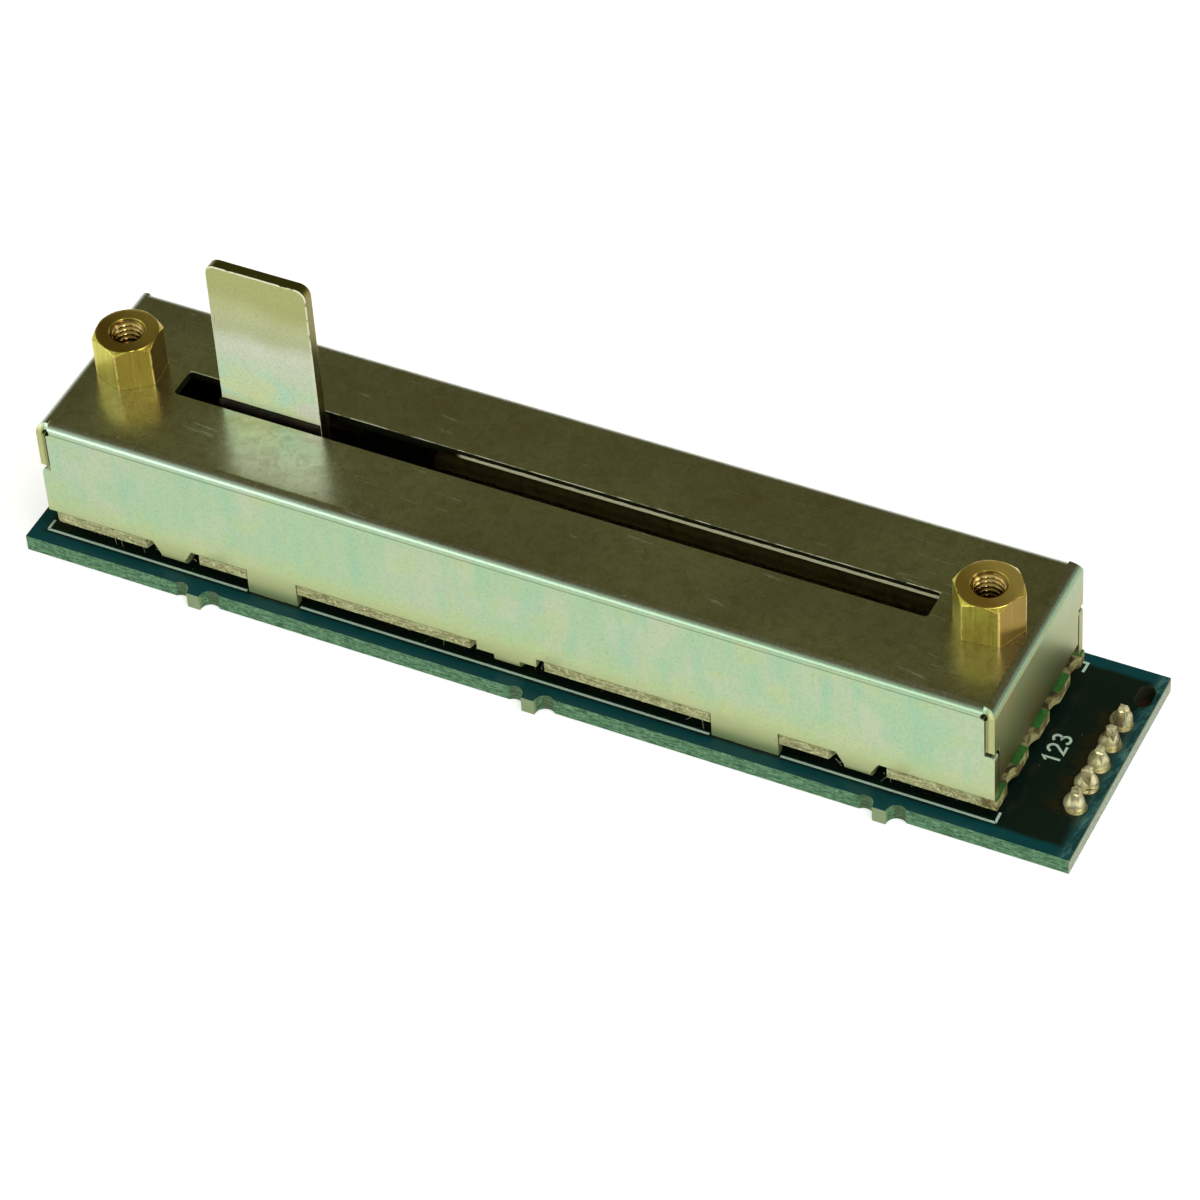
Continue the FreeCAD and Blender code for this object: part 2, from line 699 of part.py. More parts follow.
def make_header_pin(label, across):
    """Square header pin, cut off flush with the board's underside."""
    body = new_body(label, "header_place", across)
    section = new_sketch(body, "XY")
    half = "pin_width / 2"
    add_rectangle(section, f"-{half}", half, f"-{half}", half)
    pad(body, section, "pin_top")
    top = size_of("pin_top")
    rims = [f"Edge{number}" for number, edge in enumerate(body.Tip.Shape.Edges, start=1)
            if abs(edge.BoundBox.ZMin - top) < TOUCH]
    dress(body, "Chamfer", rims, "pin_tip_chamfer")
    return body


def make_solder_joint(label, across):
    """Solder cone with hollow sides, drawn up a header pin."""
    body = new_body(label, "header_place", across)
    profile = new_sketch(body, "XZ")
    add_outline(profile, [
        ("0", "board_thickness"), ("joint_foot_radius", "board_thickness"),
        ("joint_top_radius", "board_thickness + joint_height"),
        ("0", "board_thickness + joint_height")], arcs={1: "joint_side_radius"})
    turn(body, profile)
    passage = new_sketch(body, "XY", "board_thickness + joint_height")
    half = "pin_width / 2"
    add_rectangle(passage, f"-{half}", half, f"-{half}", half)
    pocket(body, passage, "joint_height")
    return body


def make_lever():
    """Blade that the knob pushes onto, rounded at its top corners."""
    body = new_body("lever", "pot_along + slide_rest")
    blade = new_sketch(body, "XZ")
    half = "lever_width / 2"
    add_rectangle(blade, f"-{half}", half, "lever_seat", "lever_top")
    pad(body, blade, "lever_thickness", both=True)
    corners = [(f"-{half}", "lever_top"), (half, "lever_top")]
    dress(body, "Fillet", edges_along(body.Tip, "y", corners), "lever_corner")
    reach = size_of("lever_thickness / 2")
    seat = size_of("lever_seat")
    rims = [f"Edge{number}" for number, edge in enumerate(body.Tip.Shape.Edges, start=1)
            if edge.BoundBox.YLength < TOUCH and edge.BoundBox.ZMax > seat + TOUCH
            and abs(abs(edge.BoundBox.YMax) - reach) < TOUCH]
    dress(body, "Fillet", rims, "lever_edge")
    return body


def make_carriage():
    """Moulded slider body: bored arms on the rods, a neck, and cheeks on the lever."""
    body = new_body("carriage", "pot_along + slide_rest")
    long = "carriage_length / 2"
    wide = "carriage_width / 2"
    waist = "carriage_waist / 2"
    gap = "(carriage_length / 2 - carriage_arm)"
    plan = new_sketch(body, "XY", "carriage_floor")
    add_outline(plan, [
        (f"-{long}", f"-{wide}"), (f"-{gap}", f"-{wide}"), (f"-{gap}", f"-{waist}"),
        (gap, f"-{waist}"), (gap, f"-{wide}"), (long, f"-{wide}"), (long, wide), (gap, wide),
        (gap, waist), (f"-{gap}", waist), (f"-{gap}", wide), (f"-{long}", wide)])
    pad(body, plan, "carriage_height")
    corners = [(f"{end}{place}", f"{side}{wide}")
               for end in ("-", "") for side in ("-", "") for place in (long, gap)]
    dress(body, "Fillet", edges_along(body.Tip, "z", corners), "carriage_corner")
    neck = new_sketch(body, "XY", "carriage_floor + carriage_height")
    add_rectangle(neck, "-neck_length / 2", "neck_length / 2", "-neck_width / 2", "neck_width / 2")
    pad(body, neck, "neck_top - carriage_floor - carriage_height")
    corners = [(f"{end}neck_length / 2", f"{side}neck_width / 2")
               for end in ("-", "") for side in ("-", "")]
    dress(body, "Fillet", edges_along(body.Tip, "z", corners), "carriage_corner")
    cheeks = new_sketch(body, "XY", "neck_top")
    add_rectangle(cheeks, "-lever_width / 2", "lever_width / 2", "-collar_width / 2", "collar_width / 2")
    pad(body, cheeks, "collar_top - neck_top")
    socket = new_sketch(body, "XY", "collar_top")
    add_rectangle(socket, "-(lever_width / 2 + lever_fit)", "lever_width / 2 + lever_fit",
                  "-(lever_thickness / 2 + lever_fit)", "lever_thickness / 2 + lever_fit")
    pocket(body, socket, "collar_top - lever_seat")
    bores = new_sketch(body, "YZ")
    for side in ("-", ""):
        add_circle(bores, f"{side}rod_half_apart", "rod_level", "rod_radius + running_clearance")
    pocket(body, bores, "2 * carriage_length", both=True)
    recess = new_sketch(body, "XY", "carriage_floor")
    add_rectangle(recess, "-(wiper_length / 2 + wiper_fit)", "wiper_length / 2 + wiper_fit",
                  "-(wiper_width / 2 + wiper_fit)", "wiper_width / 2 + wiper_fit")
    pocket(body, recess, "wiper_sheet", back=True)
    pegs = new_sketch(body, "XY", "carriage_floor + wiper_sheet")
    for end in ("-", ""):
        add_circle(pegs, f"{end}wiper_peg_apart / 2", "0", "wiper_peg_radius")
    pad(body, pegs, "2 * wiper_sheet", back=True)
    return body


def make_wiper():
    """Contact spring under the carriage: a plate and two pairs of bent fingers."""
    body = new_body("wiper", "pot_along + slide_rest")
    plate = new_sketch(body, "XY", "carriage_floor")
    add_rectangle(plate, "-wiper_length / 2", "wiper_length / 2", "-wiper_width / 2", "wiper_width / 2")
    pad(body, plate, "wiper_sheet")
    low = "track_top + finger_gap"
    for side in ("-", ""):
        for half in ("-", "+"):
            centre = f"{side}track_middle {half} finger_apart / 2"
            finger = new_sketch(body, "XZ", f"-({centre})")
            add_outline(finger, [
                ("finger_root", "carriage_floor + wiper_sheet / 2"),
                ("finger_root", "carriage_floor"),
                ("finger_tip - finger_contact", low), ("finger_tip", low),
                ("finger_tip + finger_contact", f"{low} + finger_contact / 2"),
                ("finger_tip + finger_contact", f"{low} + finger_contact / 2 + wiper_sheet"),
                ("finger_tip", f"{low} + wiper_sheet"),
                ("finger_tip - finger_contact", f"{low} + wiper_sheet"),
                ("finger_root + finger_contact", "carriage_floor"),
                ("finger_root + finger_contact", "carriage_floor + wiper_sheet / 2")])
            pad(body, finger, "finger_width", both=True)
    holes = new_sketch(body, "XY", "carriage_floor")
    for end in ("-", ""):
        add_circle(holes, f"{end}wiper_peg_apart / 2", "0", "wiper_peg_radius + wiper_fit")
    pocket(body, holes, "wiper_sheet", back=True)
    return body


# Place of each terminal from the middle of the potentiometer: both tracks at
# the left end, and the resistance track again at the right end.
TERMINALS = {
    "terminal_1": ("-terminal_place", "-terminal_across"),
    "terminal_2": ("-terminal_place", "terminal_across"),
    "terminal_3": ("terminal_place", "-terminal_across"),
}
PIN_COUNT = int(size_of("header_pins"))
PEG_ALONG = "(support_face - support_foot_reach / 2)"
PEG_ACROSS = "(support_width / 2 - support_foot_width / 2)"


def make_all():
    """Every piece of the potentiometer and its board, in building order."""
    bodies = [
        make_circuit_board(),
        make_substrate(),
        make_track("resistance_track", "-track_middle"),
        make_track("collector_track", "track_middle"),
        make_cover(),
        make_standoff("standoff_left", "-", "left_hexagon_turn"),
        make_standoff("standoff_right", "+", "right_hexagon_turn"),
        make_rod("guide_rod_front", "-rod_half_apart"),
        make_rod("guide_rod_back", "rod_half_apart"),
        make_support("rod_support_left", "-"),
        make_support("rod_support_right", ""),
    ]
    for label, (along, across) in TERMINALS.items():
        bodies.append(make_terminal(label, along, across))
    for pin in range(PIN_COUNT):
        across = f"header_middle + header_span / 2 - {pin} * header_pitch"
        bodies.append(make_header_pin(f"header_pin_{pin + 1}", across))
        bodies.append(make_solder_joint(f"solder_joint_{pin + 1}", across))
    bodies += [make_carriage(), make_lever(), make_wiper()]
    return bodies


def export(bodies):
    """Check every object and every piece, then write one file a piece."""
    for item in doc.Objects:
        if "Invalid" in item.State or "Error" in item.State:
            raise RuntimeError(f"{item.Name} failed: {item.State}")
    for body in bodies:
        shape = body.Shape
        if shape.isNull() or not shape.isValid() or len(shape.Solids) != 1:
            raise RuntimeError(f"{body.Label} is not one valid solid")
    os.makedirs("parts", exist_ok=True)
    for body in bodies:
        body.Shape.exportStep(f"parts/{body.Label}.step")
        print(f"{body.Label}: {body.Shape.Volume:.2f} mm3")


export(make_all())
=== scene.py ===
"""Looks of a slide potentiometer on its narrow circuit board."""
import logging
import math
from dataclasses import dataclass, field
from enum import Enum
from typing import Any, Iterable, Optional, Sequence, Union

import bmesh
import bpy
import numpy as np
from mathutils import Matrix, Vector


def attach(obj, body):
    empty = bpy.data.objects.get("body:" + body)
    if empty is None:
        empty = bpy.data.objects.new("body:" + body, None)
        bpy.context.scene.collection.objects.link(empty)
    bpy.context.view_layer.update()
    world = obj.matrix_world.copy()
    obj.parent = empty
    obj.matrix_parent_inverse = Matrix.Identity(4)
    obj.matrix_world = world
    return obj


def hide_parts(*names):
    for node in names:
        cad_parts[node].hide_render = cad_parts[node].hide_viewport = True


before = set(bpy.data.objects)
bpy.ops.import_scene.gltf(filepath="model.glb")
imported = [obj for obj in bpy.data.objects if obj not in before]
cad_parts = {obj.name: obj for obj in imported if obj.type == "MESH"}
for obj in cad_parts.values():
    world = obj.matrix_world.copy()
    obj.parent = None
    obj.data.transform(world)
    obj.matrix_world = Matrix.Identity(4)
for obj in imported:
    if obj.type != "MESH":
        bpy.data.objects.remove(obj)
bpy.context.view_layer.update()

MM = 0.001
LOG = logging.getLogger("slide_potentiometer")

# Lengths in millimetres, angles in degrees, in the part's frame.
AXIS_Y = -0.29
COVER_X = -2.63
STANDOFF_X = (-42.63, 37.37)
STANDOFF_TURN = (37.4, 6.5)
HEXAGON_HALF = 2.75
BOARD_TOP = 1.6
PIN_X = 47.2
PIN_COUNT = 5
PIN_PITCH = 2.54
FIRST_PIN_Y = 4.64
NUB_MIDDLE = 0.3
NUB_PITCH = 32.15
NUB_END = 11.93
HAIR_LOW = (-48.8, -11.95, 0.06)
HAIR_HIGH = (48.8, 11.95, 29.0)

Colour = tuple[float, float, float]
Operand = Union["Signal", float, int]


class Body(Enum):
    """Rigid bodies that the pieces ride on."""

    BASE = "base"
    SLIDER = "slider"


class Signal:
    """A shader socket that takes part in Python arithmetic."""

    def __init__(self, bench: "Bench", socket: Any) -> None:
        """Wraps one output socket.

        Args:
            bench: The material's node bench.
            socket: The output socket.
        """
        self.bench = bench
        self.socket = socket

    def _join(self, operation: str, first: Operand, second: Operand = 0.0) -> "Signal":
        """Math node on two operands."""
        node = self.bench.node("ShaderNodeMath", {"operation": operation}, {0: first, 1: second})
        return Signal(self.bench, node.outputs[0])

    def __add__(self, other: Operand) -> "Signal":
        """Sum."""
        return self._join("ADD", self, other)

    __radd__ = __add__

    def __sub__(self, other: Operand) -> "Signal":
        """Difference."""
        return self._join("SUBTRACT", self, other)

    def __rsub__(self, other: Operand) -> "Signal":
        """Difference with the signal on the right."""
        return self._join("SUBTRACT", other, self)

    def __mul__(self, other: Operand) -> "Signal":
        """Product."""
        return self._join("MULTIPLY", self, other)

    def __pow__(self, other: Operand) -> "Signal":
        """Power."""
        return self._join("POWER", self, other)

    def __abs__(self) -> "Signal":
        """Size without sign."""
        return self._join("ABSOLUTE", self)

    def __mod__(self, other: Operand) -> "Signal":
        """Remainder that is never negative."""
        return self._join("FLOORED_MODULO", self, other)

    def lowest(self, other: Operand) -> "Signal":
        """Smaller of two."""
        return self._join("MINIMUM", self, other)

    def highest(self, other: Operand) -> "Signal":
        """Larger of two."""
        return self._join("MAXIMUM", self, other)

    def bearing(self, other: Operand) -> "Signal":
        """Angle in radians whose tangent is this over the other."""
        return self._join("ARCTAN2", self, other)

    def sine(self) -> "Signal":
        """Sine of an angle in radians."""
        return self._join("SINE", self)

    def step(self, start: float, end: float) -> "Signal":
        """Smooth rise from 0 at start to 1 at end, or a fall where start is larger."""
        low, high = min(start, end), max(start, end)
        node = self.bench.node(
            "ShaderNodeMapRange", {"interpolation_type": "SMOOTHSTEP"},
            {"Value": self, "From Min": low, "From Max": high,
             "To Min": 0.0 if start < end else 1.0, "To Max": 1.0 if start < end else 0.0})
        return Signal(self.bench, node.outputs["Result"])

    def band(self, low: float, high: float, soft: float) -> "Signal":
        """1 between two values, 0 outside, with soft edges."""
        return self.step(low - soft, low + soft) * self.step(high + soft, high - soft)


@dataclass
class Place:
    """Object coordinates of a surface point, in millimetres, and its normal."""

    x: Signal
    y: Signal
    z: Signal
    across: Signal
    facing: Signal
    upward: Signal
    vector: Any


class Bench:
    """Node tree of one material or world, written through a single node method."""

    def __init__(self, name: str, world: bool = False) -> None:
        """Starts an empty material or world.

        Args:
            name: Name of the material or world.
            world: Whether it is a world.
        """
        self.material = (bpy.data.worlds if world else bpy.data.materials).new(name)
        self.material.use_nodes = True
        self.tree = self.material.node_tree
        self.tree.nodes.clear()
        self._place: Optional[Place] = None

    def node(self, kind: str, settings: Optional[dict[str, Any]] = None,
             inputs: Optional[dict[Union[str, int], Any]] = None) -> Any:
        """Adds a node, its settings first, then its sockets.

        Args:
            kind: Node type.
            settings: Attributes, and "stops" for a colour ramp.
            inputs: Values, signals or sockets by socket name or number.

        Returns:
            The node.
        """
        made = self.tree.nodes.new(kind)
        for key, value in (settings or {}).items():
            if key == "stops":
                ramp = made.color_ramp
                while len(ramp.elements) < len(value):
                    ramp.elements.new(0.5)
                for element, (position, colour) in zip(ramp.elements, value):
                    element.position = position
                    element.color = (*colour, 1.0)
            else:
                setattr(made, key, value)
        for key, value in (inputs or {}).items():
            socket = made.inputs[key]
            if isinstance(value, Signal):
                value = value.socket
            if isinstance(value, bpy.types.NodeSocket):
                self.tree.links.new(value, socket)
            elif isinstance(value, tuple) and len(value) == 3 and socket.type == "RGBA":
                socket.default_value = (*value, 1.0)
            else:
                socket.default_value = value
        return made

    def place(self) -> Place:
        """Coordinates in millimetres and the normal's parts, made once."""
        if self._place is None:
            coordinates = self.node("ShaderNodeTexCoord")
            scaled = self.node("ShaderNodeVectorMath", {"operation": "SCALE"},
                               {0: coordinates.outputs["Object"], "Scale": 1.0 / MM})
            parts = self.node("ShaderNodeSeparateXYZ", None, {0: scaled.outputs[0]})
            normal = self.node("ShaderNodeNewGeometry")
            facing = self.node("ShaderNodeSeparateXYZ", None, {0: normal.outputs["Normal"]})
            self._place = Place(
                *(Signal(self, output) for output in (*parts.outputs, *facing.outputs)),
                scaled.outputs[0])
        return self._place

    def stretched(self, scale: Colour, turn: Colour = (0.0, 0.0, 0.0)) -> Any:
        """Millimetre coordinates turned by degrees and then scaled along each axis."""
        vector = self.place().vector
        if any(turn):
            vector = self.node("ShaderNodeMapping", None, {
                "Vector": vector,
                "Rotation": tuple(math.radians(angle) for angle in turn)}).outputs[0]
        return self.node("ShaderNodeMapping", None, {
            "Vector": vector, "Scale": scale}).outputs[0]

    def noise(self, scale: float, detail: float = 3.0, rough: float = 0.5,
              vector: Any = None, warp: float = 0.0) -> Signal:
        """Noise whose features are about 1 / scale millimetres wide."""
        made = self.node("ShaderNodeTexNoise", None, {
            "Vector": vector if vector is not None else self.place().vector,
            "Scale": scale, "Detail": detail, "Roughness": rough, "Distortion": warp})
        return Signal(self, made.outputs["Fac"])

    def cells(self, scale: float) -> Signal:
        """Distance to the nearest of scattered points, in cells."""
        made = self.node("ShaderNodeTexVoronoi", None, {
            "Vector": self.place().vector, "Scale": scale})
        return Signal(self, made.outputs["Distance"])

    def mix(self, share: Operand, first: Any, second: Any) -> Any:
        """Colour between two colours."""
        made = self.node("ShaderNodeMix", {"data_type": "RGBA"}, {0: share, 6: first, 7: second})
        return made.outputs[2]

    def coats(self, colour: Any, layers: Sequence[tuple[Operand, Any]]) -> Any:
        """Colour under layers, the lowest first, each a share and its own colour."""
        for share, layer in layers:
            colour = self.mix(share, colour, layer)
        return colour

    def tint(self, first: Any, second: Any) -> Any:
        """Product of two colours."""
        made = self.node("ShaderNodeMix", {"data_type": "RGBA", "blend_type": "MULTIPLY"},
                         {0: 1.0, 6: first, 7: second})
        return made.outputs[2]

    def ramp(self, value: Signal, stops: Sequence[tuple[float, Colour]]) -> Any:
        """Colour looked up along stops."""
        return self.node("ShaderNodeValToRGB", {"stops": stops}, {0: value}).outputs[0]

    def bump(self, height: Signal, depth: float, below: Any = None) -> Any:
        """Bump whose height signal of 0 to 1 stands for a depth in millimetres."""
        inputs: dict[Union[str, int], Any] = {
            "Strength": 1.0, "Distance": depth * MM, "Height": height}
        if below is not None:
            inputs["Normal"] = below
        return self.node("ShaderNodeBump", None, inputs).outputs[0]

    def surface(self, colour: Any, roughness: Any, metallic: Any = 0.0, normal: Any = None,
                **constants: float) -> bpy.types.Material:
        """Finishes the material with one Principled shader.

        Args:
            colour: Base colour.
            roughness: Roughness.
            metallic: Metallic share.
            normal: Normal socket.
            **constants: Other sockets, with underscores for spaces.

        Returns:
            The material.
        """
        inputs: dict[Union[str, int], Any] = {
            "Base Color": colour, "Roughness": roughness, "Metallic": metallic}
        if normal is not None:
            inputs["Normal"] = normal
        for key, value in constants.items():
            inputs[key.replace("_", " ")] = value
        shader = self.node("ShaderNodeBsdfPrincipled", None, inputs)
        self.node("ShaderNodeOutputMaterial", None, {"Surface": shader.outputs[0]})
        return self.material


@dataclass(frozen=True)
class Finish:
    """Finish of one kind of surface."""

    name: str

    def paint(self, bench: Bench, place: Place) -> bpy.types.Material:
        """Writes the nodes of the finish.

        Args:
            bench: Material in the making.
            place: Coordinates and normal of the surface point.

        Returns:
            The material.
        """
        raise NotImplementedError

    def make(self) -> bpy.types.Material:
        """Starts the material and writes it."""
        bench = Bench(self.name)
        return self.paint(bench, bench.place())


@dataclass(frozen=True)
class ChromatedSteel(Finish):
    """Zinc-plated sheet with a yellow, faintly iridescent chromate film."""

    name: str = "chromated_steel"
    wall: Colour = (0.37, 0.505, 0.325)
    rosy: Colour = (0.45, 0.51, 0.36)
    mint: Colour = (0.30, 0.50, 0.335)
    straw: Colour = (0.41, 0.51, 0.26)
    low_straw: Colour = (0.45, 0.50, 0.21)
    speck: Colour = (0.10, 0.11, 0.05)
    roughness: float = 0.25
    grain_depth: float = 0.0034
    grain_share: float = 0.5

    def film(self, bench: Bench) -> Any:
        """Cloudy interference colours with streaks that run down the sheet."""
        clouds = bench.noise(0.16, 2.0, 0.5, warp=0.6)
        streaks = bench.noise(1.0, 3.0, 0.6, bench.stretched((0.5, 0.5, 0.09)))
        return bench.coats(self.wall, [
            (clouds.step(0.42, 0.64) * 0.8, self.rosy),
            (streaks.step(0.44, 0.7) * 0.75, self.mint),
            (bench.noise(0.33, 2.0).step(0.5, 0.74) * 0.65, self.straw),
            (bench.place().z.step(8.0, 4.0) * 0.6, self.low_straw)])

    def skin(self, bench: Bench, colour: Any) -> tuple[Any, Signal, Any]:
        """Fine grain, dark specks and faint waviness of plated sheet.

        Args:
            bench: Material in the making.
            colour: Colour of the film.

        Returns:
            Colour, roughness and normal.
        """
        grain = bench.noise(4.6, 4.0, 0.65)
        colour = bench.mix(self.grain_share, colour, bench.tint(colour, bench.ramp(grain, [
            (0.34, (0.82, 0.82, 0.80)), (0.5, (1.0, 1.0, 1.0)), (0.66, (1.09, 1.09, 1.07))])))
        specks = bench.cells(1.5).step(0.13, 0.06) * bench.noise(0.6, 2.0).step(0.45, 0.6)
        colour = bench.mix(specks * 0.4, colour, self.speck)
        relief = bench.bump(bench.noise(0.22, 2.0), 0.022)
        relief = bench.bump(grain, self.grain_depth, relief)
        return colour, grain * 0.12 + (self.roughness - 0.06) + specks * 0.15, relief


@dataclass(frozen=True)
class CoverSteel(ChromatedSteel):
    """Chromated sheet of the cover: plate, bends, walls and torn cut edges."""

    top: Colour = (0.66, 0.645, 0.59)
    top_green: Colour = (0.80, 0.84, 0.74)
    bend: Colour = (0.41, 0.54, 0.42)
    bend_shaded_right: Colour = (0.29, 0.42, 0.28)
    fleck: Colour = (0.52, 0.47, 0.34)
    grime: Colour = (0.37, 0.36, 0.20)
    blush: Colour = (0.50, 0.44, 0.30)
    scraped: Colour = (0.80, 0.82, 0.62)
    bend_shade_line: Colour = (0.10, 0.15, 0.07)
    slot: Colour = (0.09, 0.10, 0.02)
    inner_shade: Colour = (0.20, 0.16, 0.05)
    brink: Colour = (0.90, 0.92, 0.66)
    end: Colour = (0.90, 0.72, 0.48)
    torn: Colour = (0.95, 0.93, 0.62)
    cut: Colour = (0.22, 0.24, 0.06)
    pale_cut: Colour = (0.46, 0.47, 0.18)
    leg: Colour = (0.55, 0.61, 0.30)
    foot_shade: Colour = (0.17, 0.33, 0.15)
    half_slot: float = 35.15
    half_gap: float = 1.5
    torn_from: float = -11.8
    half_length: float = 44.4
    sheet: float = 0.8
    floor: float = 13.6
    step: float = 9.1
    foot: float = 4.2

    def paint(self, bench: Bench, place: Place) -> bpy.types.Material:
        """Writes the nodes."""
        along, over = abs(place.x - COVER_X), abs(place.y - AXIS_Y)
        on_top = place.upward.step(0.8, 0.97)
        on_end = abs(place.across).step(0.8, 0.97)
        # Blotches of the sheet's own tone; the pull with -y makes the plate lighter and greener
        # towards the front, which is a painted sheen.
        blotches_and_sheen = bench.noise(0.07, 2.0) - place.y * 0.010
        plate = bench.mix(blotches_and_sheen.step(0.38, 0.68), self.top, self.top_green)
        # The bend is darker towards the right: painted shade where its highlight is weaker.
        bend = bench.mix(place.x.step(-40.0, 35.0), self.bend, self.bend_shaded_right)
        colour, rough, relief = self.skin(bench, bench.coats(self.film(bench), [
            (place.upward.step(0.12, 0.4), bend), (place.upward.step(0.6, 0.97), plate)]))
        flecks = bench.noise(2.6, 3.0, 0.7).step(0.50, 0.68) * on_top
        grime = bench.noise(0.9, 4.0, 0.65, warp=0.8).step(0.42, 0.66) * on_top
        colour = bench.coats(colour, [(flecks * 0.3, self.fleck), (grime * 0.32, self.grime)])
        # The end walls are tinted darker and browner towards the bottom and the front: painted
        # shade.
        end = on_end * (place.z * 0.12 + place.y * 0.05).step(2.6, 1.15)
        colour = bench.mix(end, colour, bench.tint(colour, self.end))

        blush = bench.noise(0.28, 3.0, 0.6).step(0.45, 0.7) * on_top
        scrapes = bench.noise(1.0, 3.0, 0.6, bench.stretched((0.10, 2.6, 1.0), (0, 0, 4)))
        scrapes = scrapes.band(0.655, 0.70, 0.012) * bench.noise(0.3, 2.0).step(0.5, 0.62)
        scrapes = scrapes * on_top
        # Dark line just below the front bend: painted shade.
        bend_shade_line = place.z.band(13.34, 13.47, 0.06) * place.facing.step(-0.75, -0.92)
        # The slot's cut faces are painted dark: painted shade.
        slot = along.step(self.half_slot + 0.1, self.half_slot + 0.03)
        slot = slot * over.step(self.half_gap + 0.1, self.half_gap + 0.03)
        slot = slot * abs(place.upward).step(0.5, 0.3)
        tear = place.z + bench.noise(1.3, 2.0) * 0.16
        torn = slot * tear.step(self.floor + 0.5, self.floor + 0.4)
        # Left of torn_from the torn band fades out: painted shade where the slot is dark.
        torn = torn * place.x.step(self.torn_from - 0.4, self.torn_from + 0.4)
        # The cover's inside faces are painted dark and less metallic: painted shade.
        inner_shade = over.band(2.2, 9.0, 0.05) * place.z.band(4.8, 13.7, 0.05)
        inner_shade = inner_shade * along.step(self.half_length - 0.7, self.half_length - 0.75)
        # The burred back edge of the slot is painted bright: a painted highlight on a real burr.
        brink = over.step(self.half_gap + 0.13, self.half_gap + 0.05) * place.y.step(0.5, 1.0)
        brink = brink * place.upward.step(0.3, 0.6) * bench.noise(0.8, 2.0).step(0.35, 0.6)
        brink = brink * along.step(self.half_slot, self.half_slot - 0.1)
        inside = self.half_length - self.sheet
        ear = along.step(inside - 0.02, inside + 0.02) * place.z.step(self.step, self.step + 0.1)
        ear = ear * abs(place.facing).step(0.75, 0.95)
        cut = bench.mix(along.step(inside + 0.18, inside + 0.36), self.cut, self.pale_cut)
        leg = place.z.step(self.foot + 1.4, self.foot - 0.9)
        # Among these layers, the darker teal below z 3 on the feet and tabs is painted shade.
        colour = bench.coats(colour, [
            (blush * 0.35, self.blush), (scrapes * 0.35, self.scraped),
            (bend_shade_line * 0.62, self.bend_shade_line), (slot * 0.8, self.slot), (inner_shade * 0.8, self.inner_shade),
            (brink * 0.8, self.brink), (torn, self.torn), (ear * 0.9, cut),
            (leg * 0.75, self.leg), (place.z.step(3.0, 1.7) * 0.55, self.foot_shade)])
        rough = rough + on_end * 0.12 + leg * 0.18 + torn * 0.4 + scrapes * 0.15 + slot * 0.1
        metal = ear * -0.45 - leg * 0.6 - torn - brink * 0.6 - inner_shade * 0.6 + 1.0
        return bench.surface(colour, rough + brink * 0.3, metal.highest(0.0), relief)


@dataclass(frozen=True)
class LeverSteel(ChromatedSteel):
    """Chromated blade: straw at the tip, rosy in the middle, mint and gold at the foot."""

    tip: Colour = (0.39, 0.40, 0.165)
    shoulder: Colour = (0.55, 0.59, 0.33)
    waist: Colour = (0.86, 0.92, 0.74)
    root: Colour = (0.74, 1.0, 0.66)
    gold: Colour = (0.92, 1.0, 0.52)
    rosy_left: Colour = (0.92, 0.98, 0.82)
    rosy_right: Colour = (0.92, 0.88, 0.82)
    hatch: Colour = (0.66, 0.72, 0.56)
    edge: Colour = (0.24, 0.21, 0.06)
    rim: Colour = (0.95, 0.95, 0.72)
    levels: tuple[float, float, float, float] = (27.5, 24.0, 18.5, 15.2)
    grain_depth: float = 0.0022
    grain_share: float = 0.8

    def paint(self, bench: Bench, place: Place) -> bpy.types.Material:
        """Writes the nodes."""
        high, middle, low, foot = self.levels
        wander = place.z + (bench.noise(0.16, 1.0) - 0.5) * 2.4
        oil = bench.noise(0.26, 0.0, 0.5, bench.stretched((0.5, 1.0, 1.4), (0, -10, 0)), 0.1)
        sheen = bench.ramp(oil, [
            (0.34, (0.96, 0.90, 0.82)), (0.45, (0.80, 0.98, 0.70)), (0.56, (0.62, 1.0, 0.86)),
            (0.68, (0.92, 0.98, 0.58))])
        bloom = bench.noise(1.6, 4.0, 0.7).step(0.3, 0.7) * place.z.band(18.0, 22.5, 1.6)
        rosy = bench.mix(place.x.step(-4.0, 4.0), self.rosy_left, self.rosy_right)
        colour, rough, relief = self.skin(bench, bench.coats(self.shoulder, [
            (wander.step(middle, high), self.tip), (wander.step(middle, middle - 3.0), self.waist),
            (wander.step(middle - 3.0, low - 1.0), self.root),
            (wander.step(low + 3.0, foot) * 0.8, sheen), (bloom * 0.4, rosy),
            (wander.step(foot + 1.2, foot - 0.4) * 0.7, self.gold)]))
        turn = abs(place.facing)
        marks = bench.noise(3.0, 2.0, 0.5, bench.stretched((1.3, 1.0, 0.16), (0, 38, 0)))
        hatched = place.z.band(17.0, 21.5, 1.5) * bench.noise(0.3, 1.0).step(0.35, 0.55)
        relief = bench.bump(marks * hatched, 0.0016, relief)
        # White flecks along the front rims are painted highlights.
        rim_glints = bench.noise(0.9, 2.0, 0.6).step(0.36, 0.46)
        rim = turn.band(0.30, 0.985, 0.012) * rim_glints * place.facing.step(0.0, -0.3)
        # The side and top faces are painted darker than the front: painted shade.
        colour = bench.coats(colour, [
            (turn.step(0.75, 0.3), self.edge),
            (marks.step(0.42, 0.58) * hatched * 0.25, self.hatch), (rim, self.rim)])
        diffuse = place.z.step(high, middle - 3.2) * 0.8 + place.z.step(low, foot) * 0.12
        diffuse = diffuse * turn.step(0.8, 0.95) + rim * 0.8
        return bench.surface(colour, rough + 0.05 + rim * 0.2, (1.0 - diffuse).highest(0.1), relief)


